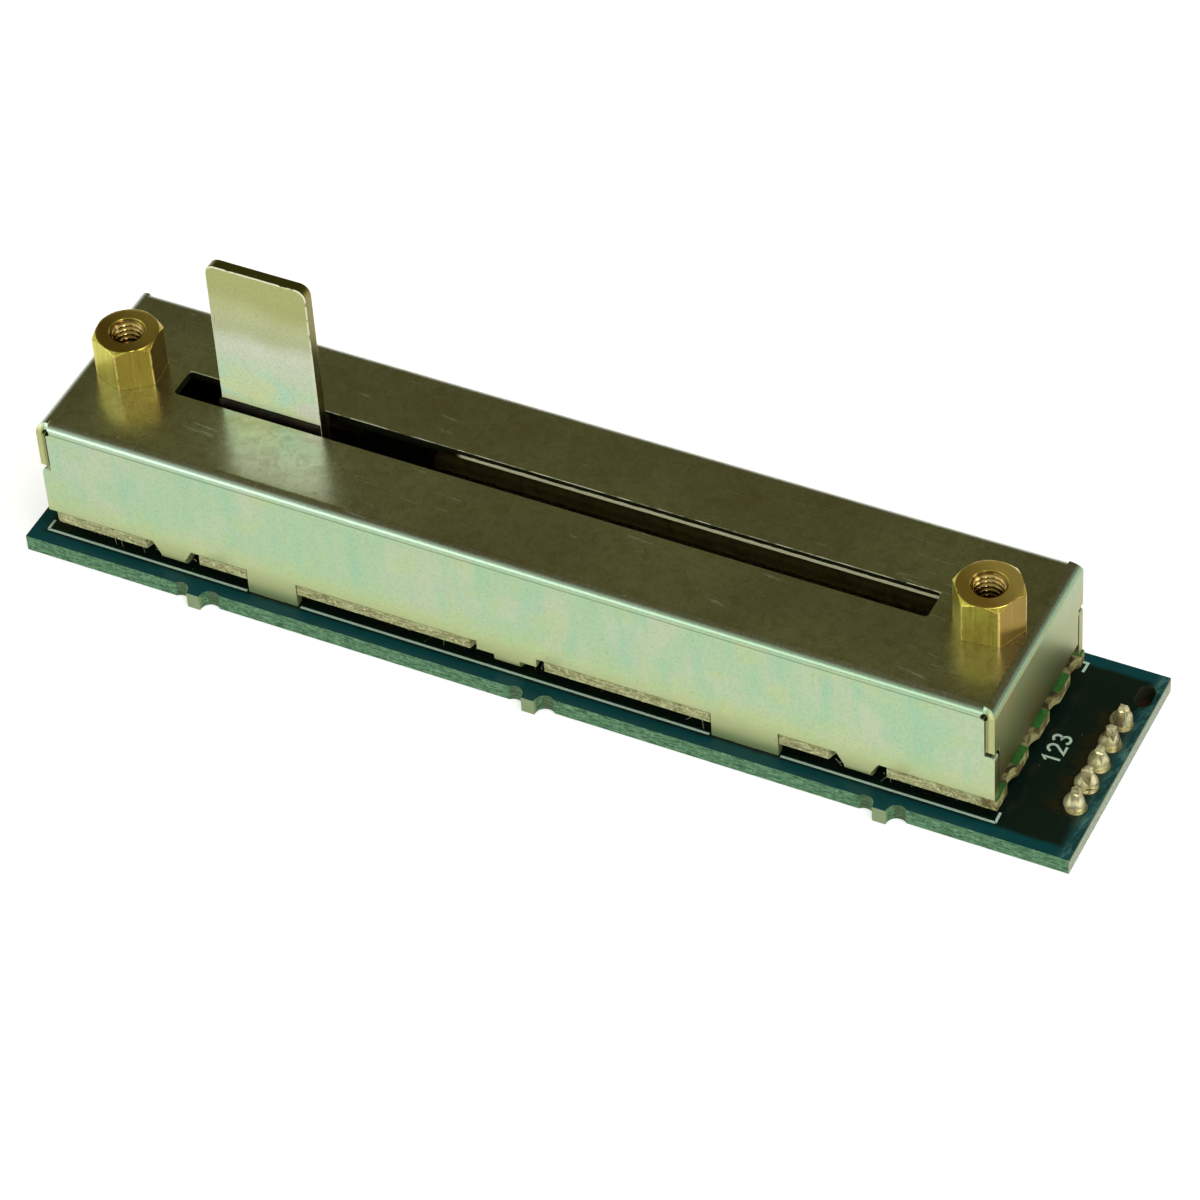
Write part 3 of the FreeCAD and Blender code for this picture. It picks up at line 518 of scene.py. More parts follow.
@dataclass(frozen=True)
class Brass(Finish):
    """Turned brass, a little tarnished, with drawn marks along the hexagon."""

    name: str = "brass"
    bright: Colour = (0.76, 0.72, 0.12)
    dull: Colour = (0.52, 0.38, 0.060)
    edge: Colour = (1.0, 0.72, 0.24)
    shaded: Colour = (0.24, 0.135, 0.018)
    left_reflection: Colour = (0.56, 0.52, 0.055)
    streak: Colour = (0.80, 0.66, 0.22)
    groove: Colour = (0.34, 0.24, 0.04)
    crest: Colour = (0.95, 0.72, 0.27)
    root: Colour = (0.20, 0.105, 0.02)
    deep: Colour = (0.13, 0.065, 0.012)
    roughness: float = 0.16
    core: float = 1.5

    def paint(self, bench: Bench, place: Place) -> bpy.types.Material:
        """Writes the nodes."""
        drawn = bench.noise(2.2, 3.0, 0.6, bench.stretched((1.6, 1.6, 0.06)))
        tarnish = bench.noise(0.55, 3.0, 0.6, warp=0.4)
        # Faces turned towards -X are later painted green and made rougher: a painted reflection.
        left = place.across.step(-0.2, -0.35)
        face = place.upward.step(0.75, 0.97)
        over = place.y - AXIS_Y
        right = place.x.step(-1.0, 1.0)
        aside = place.x - (right * (STANDOFF_X[1] - STANDOFF_X[0]) + STANDOFF_X[0])
        radius = (aside * aside + over * over) ** 0.5
        # Turned rings on the top faces; the slope with aside and over makes them lighter towards
        # the back and right, which is painted light.
        rings_and_light = bench.noise(1.2, 3.0, 0.6) * 0.3 + (aside * 0.6 + over * 0.8) * 0.16 + 0.35
        turned = bench.ramp(rings_and_light, [
            (0.30, (0.42, 0.25, 0.045)), (0.78, (0.92, 0.66, 0.18))])
        turn = right * (STANDOFF_TURN[1] - STANDOFF_TURN[0]) + STANDOFF_TURN[0]
        angle = over.bearing(aside) * (180.0 / math.pi)
        # Bright lines along the hexagon's upright corners are painted highlights.
        corner = abs((angle - turn + 30.0) % 60.0 - 30.0).step(2.6, 0.6)
        corner = corner * radius.step(HEXAGON_HALF + 0.1, HEXAGON_HALF + 0.2)
        corner = corner * bench.noise(1.1, 2.0).step(0.3, 0.5) * place.upward.step(0.9, 0.6)
        # In the bore the thread's crests are painted light and its roots and lower turns dark:
        # painted highlights and painted shade.
        bore = radius.step(self.core + 0.12, self.core)
        thread = bench.mix(place.z.step(18.5, 15.8), bench.mix(
            radius.step(1.47, 1.33), self.root, self.crest), self.deep)
        # Pale drawn streaks, fewer on faces turned towards +X as part of the painted shade there.
        pale = drawn.step(0.52, 0.72) * (0.45 - place.across.step(0.7, 0.95) * 0.38)
        colour = bench.coats(self.bright, [
            (tarnish.step(0.40, 0.72) * 0.7, self.dull),
            # Faces turned towards +X are painted duller and then darker: painted shade; the tarnish
            # above is the brass's own.
            (place.across.step(0.2, 0.6) * 0.88, self.dull),
            (place.across.step(0.78, 0.95) * 0.9, self.shaded), (left * 0.9, self.left_reflection),
            (pale, self.streak), (drawn.step(0.46, 0.34) * 0.35, self.groove),
            (face * 0.9, turned), (corner * 0.85, self.edge), (bore * 0.94, thread)])
        relief = bench.bump(drawn, 0.0022)
        rough = tarnish * 0.14 + self.roughness + face * 0.1 + left * 0.12 - bore * 0.04
        metal = bore.highest(face) * 0.16 - corner * 0.45 - face * right * 0.2 + 0.84
        return bench.surface(colour, rough, metal, relief)


@dataclass(frozen=True)
class SolderMask(Finish):
    """Board laminate under a dark mask, with pads, stains and broken fibrous edges."""

    name: str = "solder_mask"
    ground: Colour = (0.0050, 0.0140, 0.0090)
    border: Colour = (0.0036, 0.062, 0.070)
    cloud: Colour = (0.0030, 0.022, 0.016)
    scuff: Colour = (0.10, 0.20, 0.18)
    dust: Colour = (0.25, 0.30, 0.22)
    flux: Colour = (0.026, 0.017, 0.004)
    weave: tuple[Colour, Colour] = ((0.035, 0.13, 0.06), (0.21, 0.44, 0.24))
    glass: Colour = (0.42, 0.62, 0.40)
    gap: Colour = (0.02, 0.06, 0.05)
    recess: Colour = (0.09, 0.11, 0.05)
    nub: Colour = (0.37, 0.45, 0.25)
    sawn: tuple[Colour, Colour] = ((0.50, 0.56, 0.44), (0.72, 0.76, 0.66))
    sawn_top: Colour = (0.16, 0.14, 0.05)
    hole: Colour = (0.035, 0.024, 0.010)
    tin: Colour = (0.72, 0.68, 0.50)
    half_length: float = 48.9
    half_width: float = 11.2

    def paint(self, bench: Bench, place: Place) -> bpy.types.Material:
        """Writes the nodes."""
        wobble = (bench.noise(0.5, 2.0) - 0.5) * 0.4
        inward = (self.half_width - abs(place.y)).lowest(self.half_length + place.x)
        margin = (inward + wobble).step(1.42, 0.9)
        frayed = bench.noise(1.0, 4.0, 0.7, bench.stretched((1.5, 0.5, 1.0), (0, 0, 12)))
        strip = (self.half_length - place.x + (frayed - 0.5) * 2.2).step(1.5, 0.6)
        ragged = bench.ramp(frayed, [(0.36, (0.005, 0.045, 0.052)),
                                     (0.50, (0.015, 0.085, 0.09)), (0.66, (0.10, 0.26, 0.24))])
        scuffs = bench.noise(1.0, 4.0, 0.7, bench.stretched((0.35, 2.6, 2.6), (0, 0, 62)))
        scuffs = scuffs.step(0.66, 0.80) * bench.noise(0.25, 2.0).step(0.5, 0.62)
        dust = bench.cells(1.1).step(0.07, 0.03) * bench.noise(0.4, 2.0).step(0.5, 0.6)
        middle_y = FIRST_PIN_Y - PIN_PITCH * (PIN_COUNT - 1) / 2
        half_row = PIN_PITCH * PIN_COUNT / 2
        along = (place.y - middle_y + 0.5 * PIN_PITCH) % PIN_PITCH - 0.5 * PIN_PITCH
        row = abs(place.y - middle_y).step(half_row + 0.05, half_row - 0.05)
        aside = place.x - PIN_X
        pad = ((along * along + aside * aside) ** 0.5).step(0.95, 0.86) * row
        stain_x = aside + 0.75
        stain = (along * along * 0.8 + stain_x * stain_x * 0.5) ** 0.5
        flux = stain.step(1.75, 0.5) * row * bench.noise(1.6, 3.0).step(0.3, 0.6)
        mask = bench.coats(self.ground, [
            (margin, self.border), (strip * 0.9, ragged),
            (bench.noise(0.3, 3.0).step(0.5, 0.8) * 0.25, self.cloud), (scuffs * 0.5, self.scuff),
            (dust * 0.6, self.dust), (flux * 0.9, self.flux)])

        weave_x = (place.x * 9.0).sine() * 0.5 + 0.5
        fibres = bench.noise(1.0, 4.0, 0.7, bench.stretched((0.9, 0.9, 6.0)))
        speckle = bench.noise(3.5, 4.0, 0.7)
        # Edge faces set back from the board's edge are darker: painted shade.
        recess = abs(place.y).band(10.3, self.half_width - 0.08, 0.05)
        nub = (abs(place.y) - self.half_width).step(0.35, 0.62)
        end = (abs(place.x) - self.half_length).step(-0.06, -0.01)
        sawn = bench.mix(place.z.step(BOARD_TOP - 0.35, BOARD_TOP - 0.15),
                         bench.mix(speckle.step(0.4, 0.65), *self.sawn), self.sawn_top)
        # Hole walls inside the board are painted dark brown: painted shade.
        hole = (abs(place.y) - 10.4).step(0.0, -0.2) * (abs(place.x) - 48.5).step(0.0, -0.2)
        edge = bench.coats(bench.mix(fibres.step(0.38, 0.68), *self.weave), [
            (speckle.step(0.5, 0.7) * 0.6, self.glass),
            (weave_x * speckle.step(0.35, 0.6) * 0.15, self.gap), (recess * 0.55, self.recess),
            (nub * 0.8, self.nub), (end * 0.85, sawn), (hole * 0.9, self.hole)])
        flat = abs(place.upward).step(0.4, 0.7)
        metal = pad * flat
        colour = bench.coats(edge, [(flat, mask), (metal, self.tin)])
        rough = flat * -0.52 + 0.72 + scuffs * 0.2 + flux * 0.1 + bench.noise(2.0, 3.0) * 0.08
        relief = bench.bump(bench.noise(0.8, 3.0), 0.012)
        relief = bench.bump(speckle * (1.0 - flat), 0.10, relief)
        return bench.surface(colour, rough, metal, relief, Specular_IOR_Level=0.3)


@dataclass(frozen=True)
class Laminate(Finish):
    """Paper laminate with sheared fibrous edges and a green printed end."""

    name: str = "laminate"
    top_level: float = 4.2
    right_end: float = 41.97
    tooth_middle: float = 0.31
    tooth_pitch: float = 4.5
    layer: tuple[Colour, Colour] = ((0.26, 0.24, 0.09), (0.62, 0.64, 0.34))
    fuzz: Colour = (0.86, 0.88, 0.50)
    stain: Colour = (0.13, 0.10, 0.03)
    moss: Colour = (0.16, 0.24, 0.05)
    cream: Colour = (0.50, 0.46, 0.16)
    bite: Colour = (0.13, 0.085, 0.02)
    sheet: Colour = (0.26, 0.17, 0.06)
    bare_and_shade: tuple[Colour, Colour] = ((0.055, 0.035, 0.010), (0.34, 0.30, 0.12))
    green: tuple[Colour, Colour] = ((0.02, 0.13, 0.012), (0.05, 0.22, 0.02))

    def paint(self, bench: Bench, place: Place) -> bpy.types.Material:
        """Writes the nodes."""
        layers = bench.noise(1.0, 4.0, 0.7, bench.stretched((0.7, 0.7, 5.0)))
        fuzz = bench.noise(3.2, 4.0, 0.7)
        flat = abs(place.upward).step(0.5, 0.8)
        sheared = 1.0 - flat
        foot = place.z.step(self.top_level - 0.22, self.top_level - 0.08) * sheared
        past = place.x.step(self.right_end - 1.6, self.right_end - 1.2)
        across = (place.y - self.tooth_middle) % self.tooth_pitch - 0.5 * self.tooth_pitch
        tooth = (abs(across) - 0.5 * self.tooth_pitch + 1.15).step(-0.12, 0.12)
        # Between the printed teeth the bare top is dark brown, its own colour darkened as painted
        # shade.
        printed = bench.mix(
            tooth, bench.mix(bench.noise(1.3, 3.0).step(0.42, 0.6), *self.bare_and_shade),
            bench.mix(fuzz.step(0.4, 0.7), *self.green))
        body = bench.coats(bench.mix(layers.step(0.35, 0.68), *self.layer), [
            (fuzz.step(0.46, 0.66) * 0.8, self.fuzz),
            (bench.noise(1.4, 3.0).step(0.56, 0.72) * 0.6, self.stain),
            (foot * fuzz.step(0.3, 0.55) * 0.7, self.moss), (past * sheared * 0.5, self.cream),
            (past * sheared * bench.noise(1.1, 3.0).step(0.60, 0.44) * 0.9, self.bite),
            (flat * 0.55, self.sheet), (past * flat, printed)])
        relief = bench.bump(layers, 0.10)
        relief = bench.bump(fuzz, 0.05, relief)
        return bench.surface(body, fuzz * 0.15 + 0.66, 0.0, relief)


@dataclass(frozen=True)
class Moulding(Finish):
    """Moulded plastic with a fine spark-eroded skin."""

    colour: Colour = (0.014, 0.012, 0.010)
    worn: Colour = (0.06, 0.045, 0.03)
    roughness: float = 0.42
    gloss: float = 0.4

    def paint(self, bench: Bench, place: Place) -> bpy.types.Material:
        """Writes the nodes."""
        skin = bench.noise(9.0, 3.0, 0.6)
        grease = bench.noise(0.7, 3.0, 0.5, warp=0.5)
        colour = bench.mix(grease.step(0.45, 0.72), self.colour, self.worn)
        relief = bench.bump(skin, 0.006)
        return bench.surface(colour, skin * 0.15 + self.roughness - grease.step(0.5, 0.7) * 0.1,
                             0.0, relief, Specular_IOR_Level=self.gloss)


@dataclass(frozen=True)
class TurnedMetal(Finish):
    """Metal with fine marks along one direction and a few stains."""

    bright: Colour
    stained: Colour
    stretch: Colour = (0.3, 4.0, 4.0)
    roughness: float = 0.2
    stain_scale: float = 0.8
    metallic: float = 1.0

    def paint(self, bench: Bench, place: Place) -> bpy.types.Material:
        """Writes the nodes."""
        marks = bench.noise(2.0, 3.0, 0.6, bench.stretched(self.stretch))
        stains = bench.noise(self.stain_scale, 3.0, 0.6, warp=0.5)
        colour = bench.mix(stains.step(0.45, 0.72), self.bright, self.stained)
        colour = bench.tint(colour, bench.ramp(marks, [
            (0.3, (0.82, 0.82, 0.82)), (0.7, (1.05, 1.05, 1.05))]))
        relief = bench.bump(marks, 0.004)
        rough = marks * 0.12 + self.roughness + stains * 0.08
        return bench.surface(colour, rough, self.metallic, relief)


@dataclass(frozen=True)
class Ink(Finish):
    """Printed ink: a thin matt layer with pinholes and uneven cover."""

    colour: Colour
    thin: Colour
    roughness: float = 0.5

    def paint(self, bench: Bench, place: Place) -> bpy.types.Material:
        """Writes the nodes."""
        cover = bench.noise(4.0, 4.0, 0.7)
        colour = bench.mix(cover.step(0.55, 0.78), self.colour, self.thin)
        relief = bench.bump(cover, 0.01)
        return bench.surface(colour, cover * 0.2 + self.roughness, 0.0, relief)


def smooth_by_angle(mesh: bpy.types.Mesh, degrees: float) -> None:
    """Smooth shading with sharp edges where faces turn by more than an angle.

    Args:
        mesh: Mesh to shade.
        degrees: Angle past which an edge stays sharp.
    """
    mesh.polygons.foreach_set("use_smooth", np.ones(len(mesh.polygons), bool))
    mesh.set_sharp_from_angle(angle=math.radians(degrees))
    mesh.update()


def weigh_faces(piece: bpy.types.Object) -> None:
    """Shades flat faces flat, by giving large faces the say over a shared normal."""
    weights = piece.modifiers.new("flat_faces", "WEIGHTED_NORMAL")
    weights.weight = 100
    weights.keep_sharp = True


def put(name: str, data: Any) -> bpy.types.Object:
    """New object in the scene."""
    piece = bpy.data.objects.new(name, data)
    bpy.context.scene.collection.objects.link(piece)
    return piece


def finish_piece(name: str, mesh: bpy.types.Mesh, body: Body,
                 material: bpy.types.Material, nodes: Iterable[str] = ()) -> bpy.types.Object:
    """Puts a mesh into the scene as a piece of the object.

    Args:
        name: Piece name.
        mesh: Mesh in metres, in the part's frame.
        body: Rigid body that it rides on.
        material: Finish.
        nodes: CAD nodes that it stands for.

    Returns:
        The piece.
    """
    piece = put(name, mesh)
    mesh.materials.clear()
    mesh.materials.append(material)
    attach(piece, body.value)
    if nodes:
        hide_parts(*nodes)
    LOG.info("%s: %d faces", name, len(mesh.polygons))
    return piece


def dress_node(node: str, material: bpy.types.Material) -> None:
    """Gives a CAD node that keeps its shape its material."""
    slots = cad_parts[node].material_slots
    for entry in slots:
        entry.material = material
    LOG.info("%s: CAD shape, material %s", node, material.name)


def grid_faces(rows: int, columns: int, wrap_u: bool = False,
               wrap_v: bool = False) -> np.ndarray:
    """Quads over a grid of points.

    The points are numbered row by row; each quad joins a point to the next one
    along both parameters.

    Args:
        rows: Rows of points.
        columns: Points in a row.
        wrap_u: Whether the last row joins the first.
        wrap_v: Whether the last column joins the first.

    Returns:
        Four point numbers for each quad.
    """
    i = np.arange(rows if wrap_u else rows - 1)[:, None]
    j = np.arange(columns if wrap_v else columns - 1)[None, :]
    next_i, next_j = (i + 1) % rows, (j + 1) % columns
    return np.stack([i * columns + j, i * columns + next_j, next_i * columns + next_j,
                     next_i * columns + j], -1).reshape(-1, 4)


def cap_faces(rows: int, columns: int) -> np.ndarray:
    """One face over the first row of a grid and one over the last."""
    row = np.arange(columns)
    return np.stack([row[::-1], (rows - 1) * columns + row])


def new_mesh(name: str, points: np.ndarray, faces: list[Any]) -> bpy.types.Mesh:
    """Mesh in metres from points in millimetres."""
    mesh = bpy.data.meshes.new(name)
    mesh.from_pydata((points.reshape(-1, 3) * MM).tolist(), [], faces)
    mesh.update()
    return mesh


def outward(mesh: bpy.types.Mesh) -> bpy.types.Mesh:
    """Merges doubled points and turns every face outwards."""
    work = bmesh.new()
    work.from_mesh(mesh)
    bmesh.ops.remove_doubles(work, verts=work.verts, dist=1e-7)
    bmesh.ops.recalc_face_normals(work, faces=work.faces)
    work.to_mesh(mesh)
    work.free()
    mesh.update()
    return mesh


def node_copy(node: str, name: str, flat_degrees: float = 0.5) -> bpy.types.Mesh:
    """Merged copy of a CAD node's mesh, with its flat faces joined.

    Args:
        node: CAD node.
        name: Name of the new mesh.
        flat_degrees: Faces within this angle of each other are joined.

    Returns:
        The mesh.
    """
    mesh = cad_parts[node].data.copy()
    mesh.name = name
    work = bmesh.new()
    work.from_mesh(mesh)
    bmesh.ops.remove_doubles(work, verts=work.verts, dist=2e-6)
    bmesh.ops.dissolve_limit(
        work, angle_limit=math.radians(flat_degrees), use_dissolve_boundaries=False,
        verts=work.verts, edges=work.edges, delimit=set())
    work.to_mesh(mesh)
    work.free()
    mesh.update()
    return mesh


@dataclass
class Cover:
    """Folded cover: the CAD shape with its cut edges slightly rounded."""

    edge: float = 0.07
    segments: int = 2
    sharp: float = 32.0

    def build(self, finish: bpy.types.Material) -> None:
        """Makes the cover."""
        piece = finish_piece("cover_sheet", node_copy("cover", "cover_sheet"), Body.BASE,
                             finish, ["cover"])
        smooth_by_angle(piece.data, 180.0)
        bevel = piece.modifiers.new("edge_rounding", "BEVEL")
        bevel.width = self.edge * MM
        bevel.segments = self.segments
        bevel.limit_method = "ANGLE"
        bevel.angle_limit = math.radians(self.sharp)
        bevel.use_clamp_overlap = True
        weigh_faces(piece)


@dataclass
class Standoff:
    """Hexagon standoff with a cut thread."""

    side: str
    x: float
    turn: float
    y: float = AXIS_Y
    top: float = 18.7
    seat: float = 14.4
    flat: float = HEXAGON_HALF
    shank: float = 2.1
    swage: float = 2.5
    plate_floor: float = 13.6
    bottom: float = 13.25
    core: float = 1.28
    thread_outer: float = 1.5
    thread_pitch: float = 0.5
    mouth: float = 1.62
    edge: float = 0.08
    around: int = 216

    def surface(self) -> np.ndarray:
        """Points of the closed surface.

        The radius is a function of the angle and of the way along a profile.
        The outside is the smaller of a hexagon, flat / cos(angle from the
        middle of a side), and a 45 degree cone; its corners are rounded by
        taking the angle to the corner as hypot(angle, edge / flat). The bore
        is a 60 degree thread: core plus the thread's depth times a power of
        the triangle wave of height / pitch minus angle / turn. The mouth's
        cone takes over where it is wider than the thread.
        """
        spread = np.sin(np.linspace(-np.pi / 2, np.pi / 2, self.around // 6, endpoint=False))
        from_side = np.tile(spread * np.pi / 6, 6)
        theta = (np.radians(self.turn) + from_side + np.pi / 6
                 + np.repeat(np.arange(6) * np.pi / 3, self.around // 6))
        to_corner = np.hypot(np.pi / 6 - np.abs(from_side), self.edge / self.flat)
        hexagon = self.flat / np.cos(np.pi / 6 - to_corner)
        rows: list[tuple[np.ndarray, np.ndarray]] = []

        def ring(radius: Any, z: Any) -> None:
            rows.append((np.broadcast_to(radius, theta.shape), np.broadcast_to(z, theta.shape)))

        turns = int((self.top - self.bottom) / self.thread_pitch * 16)
        for z in np.linspace(self.bottom, self.top, turns + 1):
            wave = (z / self.thread_pitch - (theta - theta[0]) / (2 * np.pi)) % 1.0
            depth = (self.thread_outer - self.core) * (1 - np.abs(2 * wave - 1)) ** 0.8
            cone = self.mouth - (self.top - z)
            ring(np.maximum(self.core + depth, cone), z)
        for share in np.linspace(0, 1, 4)[1:]:
            ring(self.mouth + (self.flat - 0.04 - self.mouth) * share, self.top)
        corner = 2 * self.flat / math.sqrt(3)
        drop = corner - self.flat
        for z in np.linspace(0.03, drop * 1.02, 14):
            ring(np.minimum(hexagon, self.flat + z), self.top - z)
        for z in np.linspace(self.top - drop * 1.1, self.seat + 0.06, 6):
            ring(hexagon, z)
        ring(hexagon - 0.06, self.seat)
        ring(self.shank + 0.2, self.seat)
        ring(self.shank, self.seat)
        ring(self.shank, self.plate_floor)
        ring(self.swage, self.plate_floor)
        ring(self.swage - 0.05, self.bottom)
        radius = np.array([row[0] for row in rows])
        height = np.array([row[1] for row in rows])
        return np.stack([self.x + radius * np.cos(theta), self.y + radius * np.sin(theta),
                         height], -1)

    def build(self, finish: bpy.types.Material) -> None:
        """Makes the standoff."""
        name = f"standoff_{self.side}_turned"
        points = self.surface()
        faces = grid_faces(*points.shape[:2], wrap_u=True, wrap_v=True)
        mesh = outward(new_mesh(name, points, faces.tolist()))
        smooth_by_angle(mesh, 30.0)
        finish_piece(name, mesh, Body.BASE, finish, [f"standoff_{self.side}"])


@dataclass
class HeaderJoint:
    """Solder cone drawn up a header pin, each a little different."""

    number: int
    x: float = PIN_X
    y: float = FIRST_PIN_Y
    board: float = BOARD_TOP
    foot: float = 0.98
    neck: float = 0.40
    creep: tuple[float, float] = (-0.3, 0.4)
    height: float = 1.9

    def surface(self) -> np.ndarray:
        """Points of the cone.

        The radius falls from foot to neck along half a cosine wave of a power
        of the height, times one plus a few low waves round the axis, and ends
        in a small shoulder on the pin. The foot lies aside of the pin by creep,
        which fades out with the height.
        """
        seed = np.random.default_rng(40 + self.number)
        phase = seed.uniform(0, 2 * np.pi, 4)
        lean = seed.uniform(-0.08, 0.08, 2)
        s = np.linspace(0, 1, 26)[:, None]
        theta = np.linspace(0, 2 * np.pi, 48, endpoint=False)[None, :]
        radius = self.neck + (self.foot - self.neck) * (0.5 + 0.5 * np.cos(np.pi * s ** 0.85))
        wave = (0.16 * np.sin(2 * theta + phase[0]) + 0.12 * np.sin(3 * theta + phase[1] + 2 * s)
                + 0.05 * np.sin(5 * theta + phase[2] + 5 * s) + 0.05 * np.sin(9 * s + phase[3]))
        radius = radius * (1 + wave * (0.3 + 0.7 * s))
        height = self.board + self.height * s * (1 + 0.06 * np.sin(theta + phase[3]) * s)
        x = self.x + lean[0] * s ** 2 + self.creep[0] * (1 - s) ** 0.7 + radius * np.cos(theta)
        y = self.y + lean[1] * s ** 2 + self.creep[1] * (1 - s) ** 0.7 + radius * np.sin(theta)
        body = np.stack([x, y, height + 0 * x], -1)
        ends = body[-1].mean(axis=0)
        shoulder = body[-1] * 0.45 + ends * 0.55 + np.array([0, 0, 0.10])
        tip = np.broadcast_to(ends + np.array([0, 0, 0.12]), shoulder.shape)
        return np.concatenate([body, shoulder[None], tip[None]])

    def build(self, solder: bpy.types.Material) -> None:
        """Makes the joint."""
        name = f"solder_cone_{self.number}"
        points = self.surface()
        faces = grid_faces(*points.shape[:2], wrap_v=True).tolist()
        faces += cap_faces(*points.shape[:2]).tolist()
        mesh = outward(new_mesh(name, points, faces))
        smooth_by_angle(mesh, 50.0)
        finish_piece(name, mesh, Body.BASE, solder, [f"solder_joint_{self.number}"])


@dataclass
class Print:
    """White print on the board: the outline round the cover and three digits."""

    level: float = BOARD_TOP
    thickness: float = 0.02
    sunk: float = 0.005
    line: float = 0.23
    left: float = -47.48
    right: float = 41.83
    front: float = -9.68
    back: float = 10.08
    foot_gaps: tuple[tuple[float, float], ...] = ((-27.7, -22.5), (16.1, 22.6))
    digits_at: tuple[float, float] = (44.0, -1.68)
    digit_size: tuple[float, float] = (1.5, 1.35)
    digit_advance: float = 1.18

    def ribbon(self, path: np.ndarray, width: float) -> tuple[np.ndarray, np.ndarray]:
        """Flat bar along a path.

        Each point of the path is moved by half the width to either side along
        the mean normal of its two runs, at the board's level and above it.

        Args:
            path: Points as rows of x and y.
            width: Width of the bar.

        Returns:
            Vertices and quads.
        """
        runs = np.diff(path, axis=0)
        runs = runs / np.linalg.norm(runs, axis=1, keepdims=True)
        before = np.vstack([runs[:1], runs])
        after = np.vstack([runs, runs[-1:]])
        mean = before + after
        mean = mean / np.linalg.norm(mean, axis=1, keepdims=True)
        normal = np.stack([-mean[:, 1], mean[:, 0]], -1)
        spread = 1 / np.maximum(np.sum(mean * after, axis=1), 0.5)
        offset = normal * (width / 2 * spread)[:, None]
        low, high = self.level - self.sunk, self.level + self.thickness
        corners = [(path - offset, low), (path + offset, low), (path + offset, high),
                   (path - offset, high)]
        vertices = np.stack([np.column_stack([side, np.full(len(path), z)])
                             for side, z in corners], 1)
        size = (len(path), len(corners))
        return vertices.reshape(-1, 3), np.vstack([
            grid_faces(*size, wrap_v=True), cap_faces(*size)])

    def strokes(self) -> list[np.ndarray]:
        """Paths of the outline and the digits.

        A digit is drawn in a box one unit high from straight runs and arcs of
        the form centre plus radius times cosine and sine, then turned by a
        quarter so that it reads along +Y.
        """
        left, right, front, back = self.left, self.right, self.front, self.back
        stops = [left, *(edge for gap in self.foot_gaps for edge in gap), right]
        paths = [np.array([[start, front], [end, front]])
                 for start, end in zip(stops[::2], stops[1::2])]
        paths += [np.array(corner) for corner in (
            [[left, front], [left, front + 1.2]],
            [[right, front], [right - 0.07, front + 1.2]],
            [[right - 0.75, back], [right + 0.1, back], [right + 0.05, back - 1.1]],
            [[left + 0.9, back], [left, back], [left, back - 1.1]])]
        turn = np.linspace(0, 1, 13)
        one = np.array([[0.12, 0.76], [0.38, 1.0], [0.38, 0.0]])
        arc = np.radians(170 - 205 * turn)
        two = np.vstack([np.column_stack([0.33 + 0.3 * np.cos(arc), 0.71 + 0.29 * np.sin(arc)]),
                         [[0.03, 0.0], [0.68, 0.0]]])
        upper = np.radians(150 - 240 * turn)
        lower = np.radians(90 - 250 * turn[1:])
        three = np.vstack([
            np.column_stack([0.32 + 0.26 * np.cos(upper), 0.76 + 0.24 * np.sin(upper)]),
            np.column_stack([0.32 + 0.30 * np.cos(lower), 0.26 + 0.26 * np.sin(lower)])])
        high, wide = self.digit_size
        for index, shape in enumerate((one, two, three)):
            along = self.digits_at[1] + self.digit_advance * index + shape[:, 0] * wide
            paths.append(np.column_stack([self.digits_at[0] - shape[:, 1] * high, along]))
        return paths

    def build(self, ink: bpy.types.Material) -> None:
        """Makes the print as one thin piece."""
        vertices, faces, count = [], [], 0
        for path in self.strokes():
            points, quads = self.ribbon(path, self.line)
            vertices.append(points)
            faces.append(quads + count)
            count += len(points)
        mesh = new_mesh("board_print", np.vstack(vertices), np.vstack(faces).tolist())
        finish_piece("board_print", outward(mesh), Body.BASE, ink)


@dataclass
class Fibres:
    """Stray glass and paper fibres on sheared edges."""

    name: str
    roots: np.ndarray
    leave: np.ndarray
    length: float = 0.7
    radius: float = 0.02
    seed: int = 5
    points: int = 6
    sides: int = 4

    def surface(self) -> tuple[np.ndarray, np.ndarray]:
        """Tubes along bent hairs.

        Hair k runs from its root along its leaving direction and bends by a
        random vector times the square of the way along. Its section is a small
        polygon across the mean direction, thinned towards the tip.

        Returns:
            Vertices in millimetres and quads.
        """
        rng = np.random.default_rng(self.seed)
        count = len(self.roots)
        s = np.linspace(0, 1, self.points)
        reach = self.length * rng.uniform(0.35, 1.0, (count, 1, 1))
        bend = rng.normal(0, 0.9, (count, 1, 3))
        aim = self.leave[:, None, :] + rng.normal(0, 0.35, (count, 1, 3))
        path = (self.roots[:, None, :] + aim * reach * s[None, :, None]
                + bend * reach * (s ** 2)[None, :, None])
        path = np.clip(path, HAIR_LOW, HAIR_HIGH)
        axis = aim / np.linalg.norm(aim, axis=2, keepdims=True)
        helper = np.broadcast_to(np.array([0.31, 0.17, 0.93]), axis.shape)
        one = np.cross(axis, helper)
        one = one / np.linalg.norm(one, axis=2, keepdims=True)
        two = np.cross(axis, one)
        angle = np.linspace(0, 2 * np.pi, self.sides, endpoint=False)
        ring = (one[:, :, None, :] * np.cos(angle)[None, None, :, None]
                + two[:, :, None, :] * np.sin(angle)[None, None, :, None])
        thick = self.radius * (1 - 0.7 * s)[None, :, None, None]
        tubes = path[:, :, None, :] + ring * thick
        size = (self.points, self.sides)
        tube = np.vstack([grid_faces(*size, wrap_v=True), cap_faces(*size)])
        first = np.arange(count) * self.points * self.sides
        return tubes.reshape(-1, 3), (first[:, None, None] + tube).reshape(-1, self.sides)

    def build(self, slot: str, material: bpy.types.Material) -> None:
        """Makes the fibres as one piece."""
        vertices, faces = self.surface()
        mesh = outward(new_mesh(self.name, vertices, faces.tolist()))
        smooth_by_angle(mesh, 180.0)
        finish_piece(self.name, mesh, Body.BASE, material)


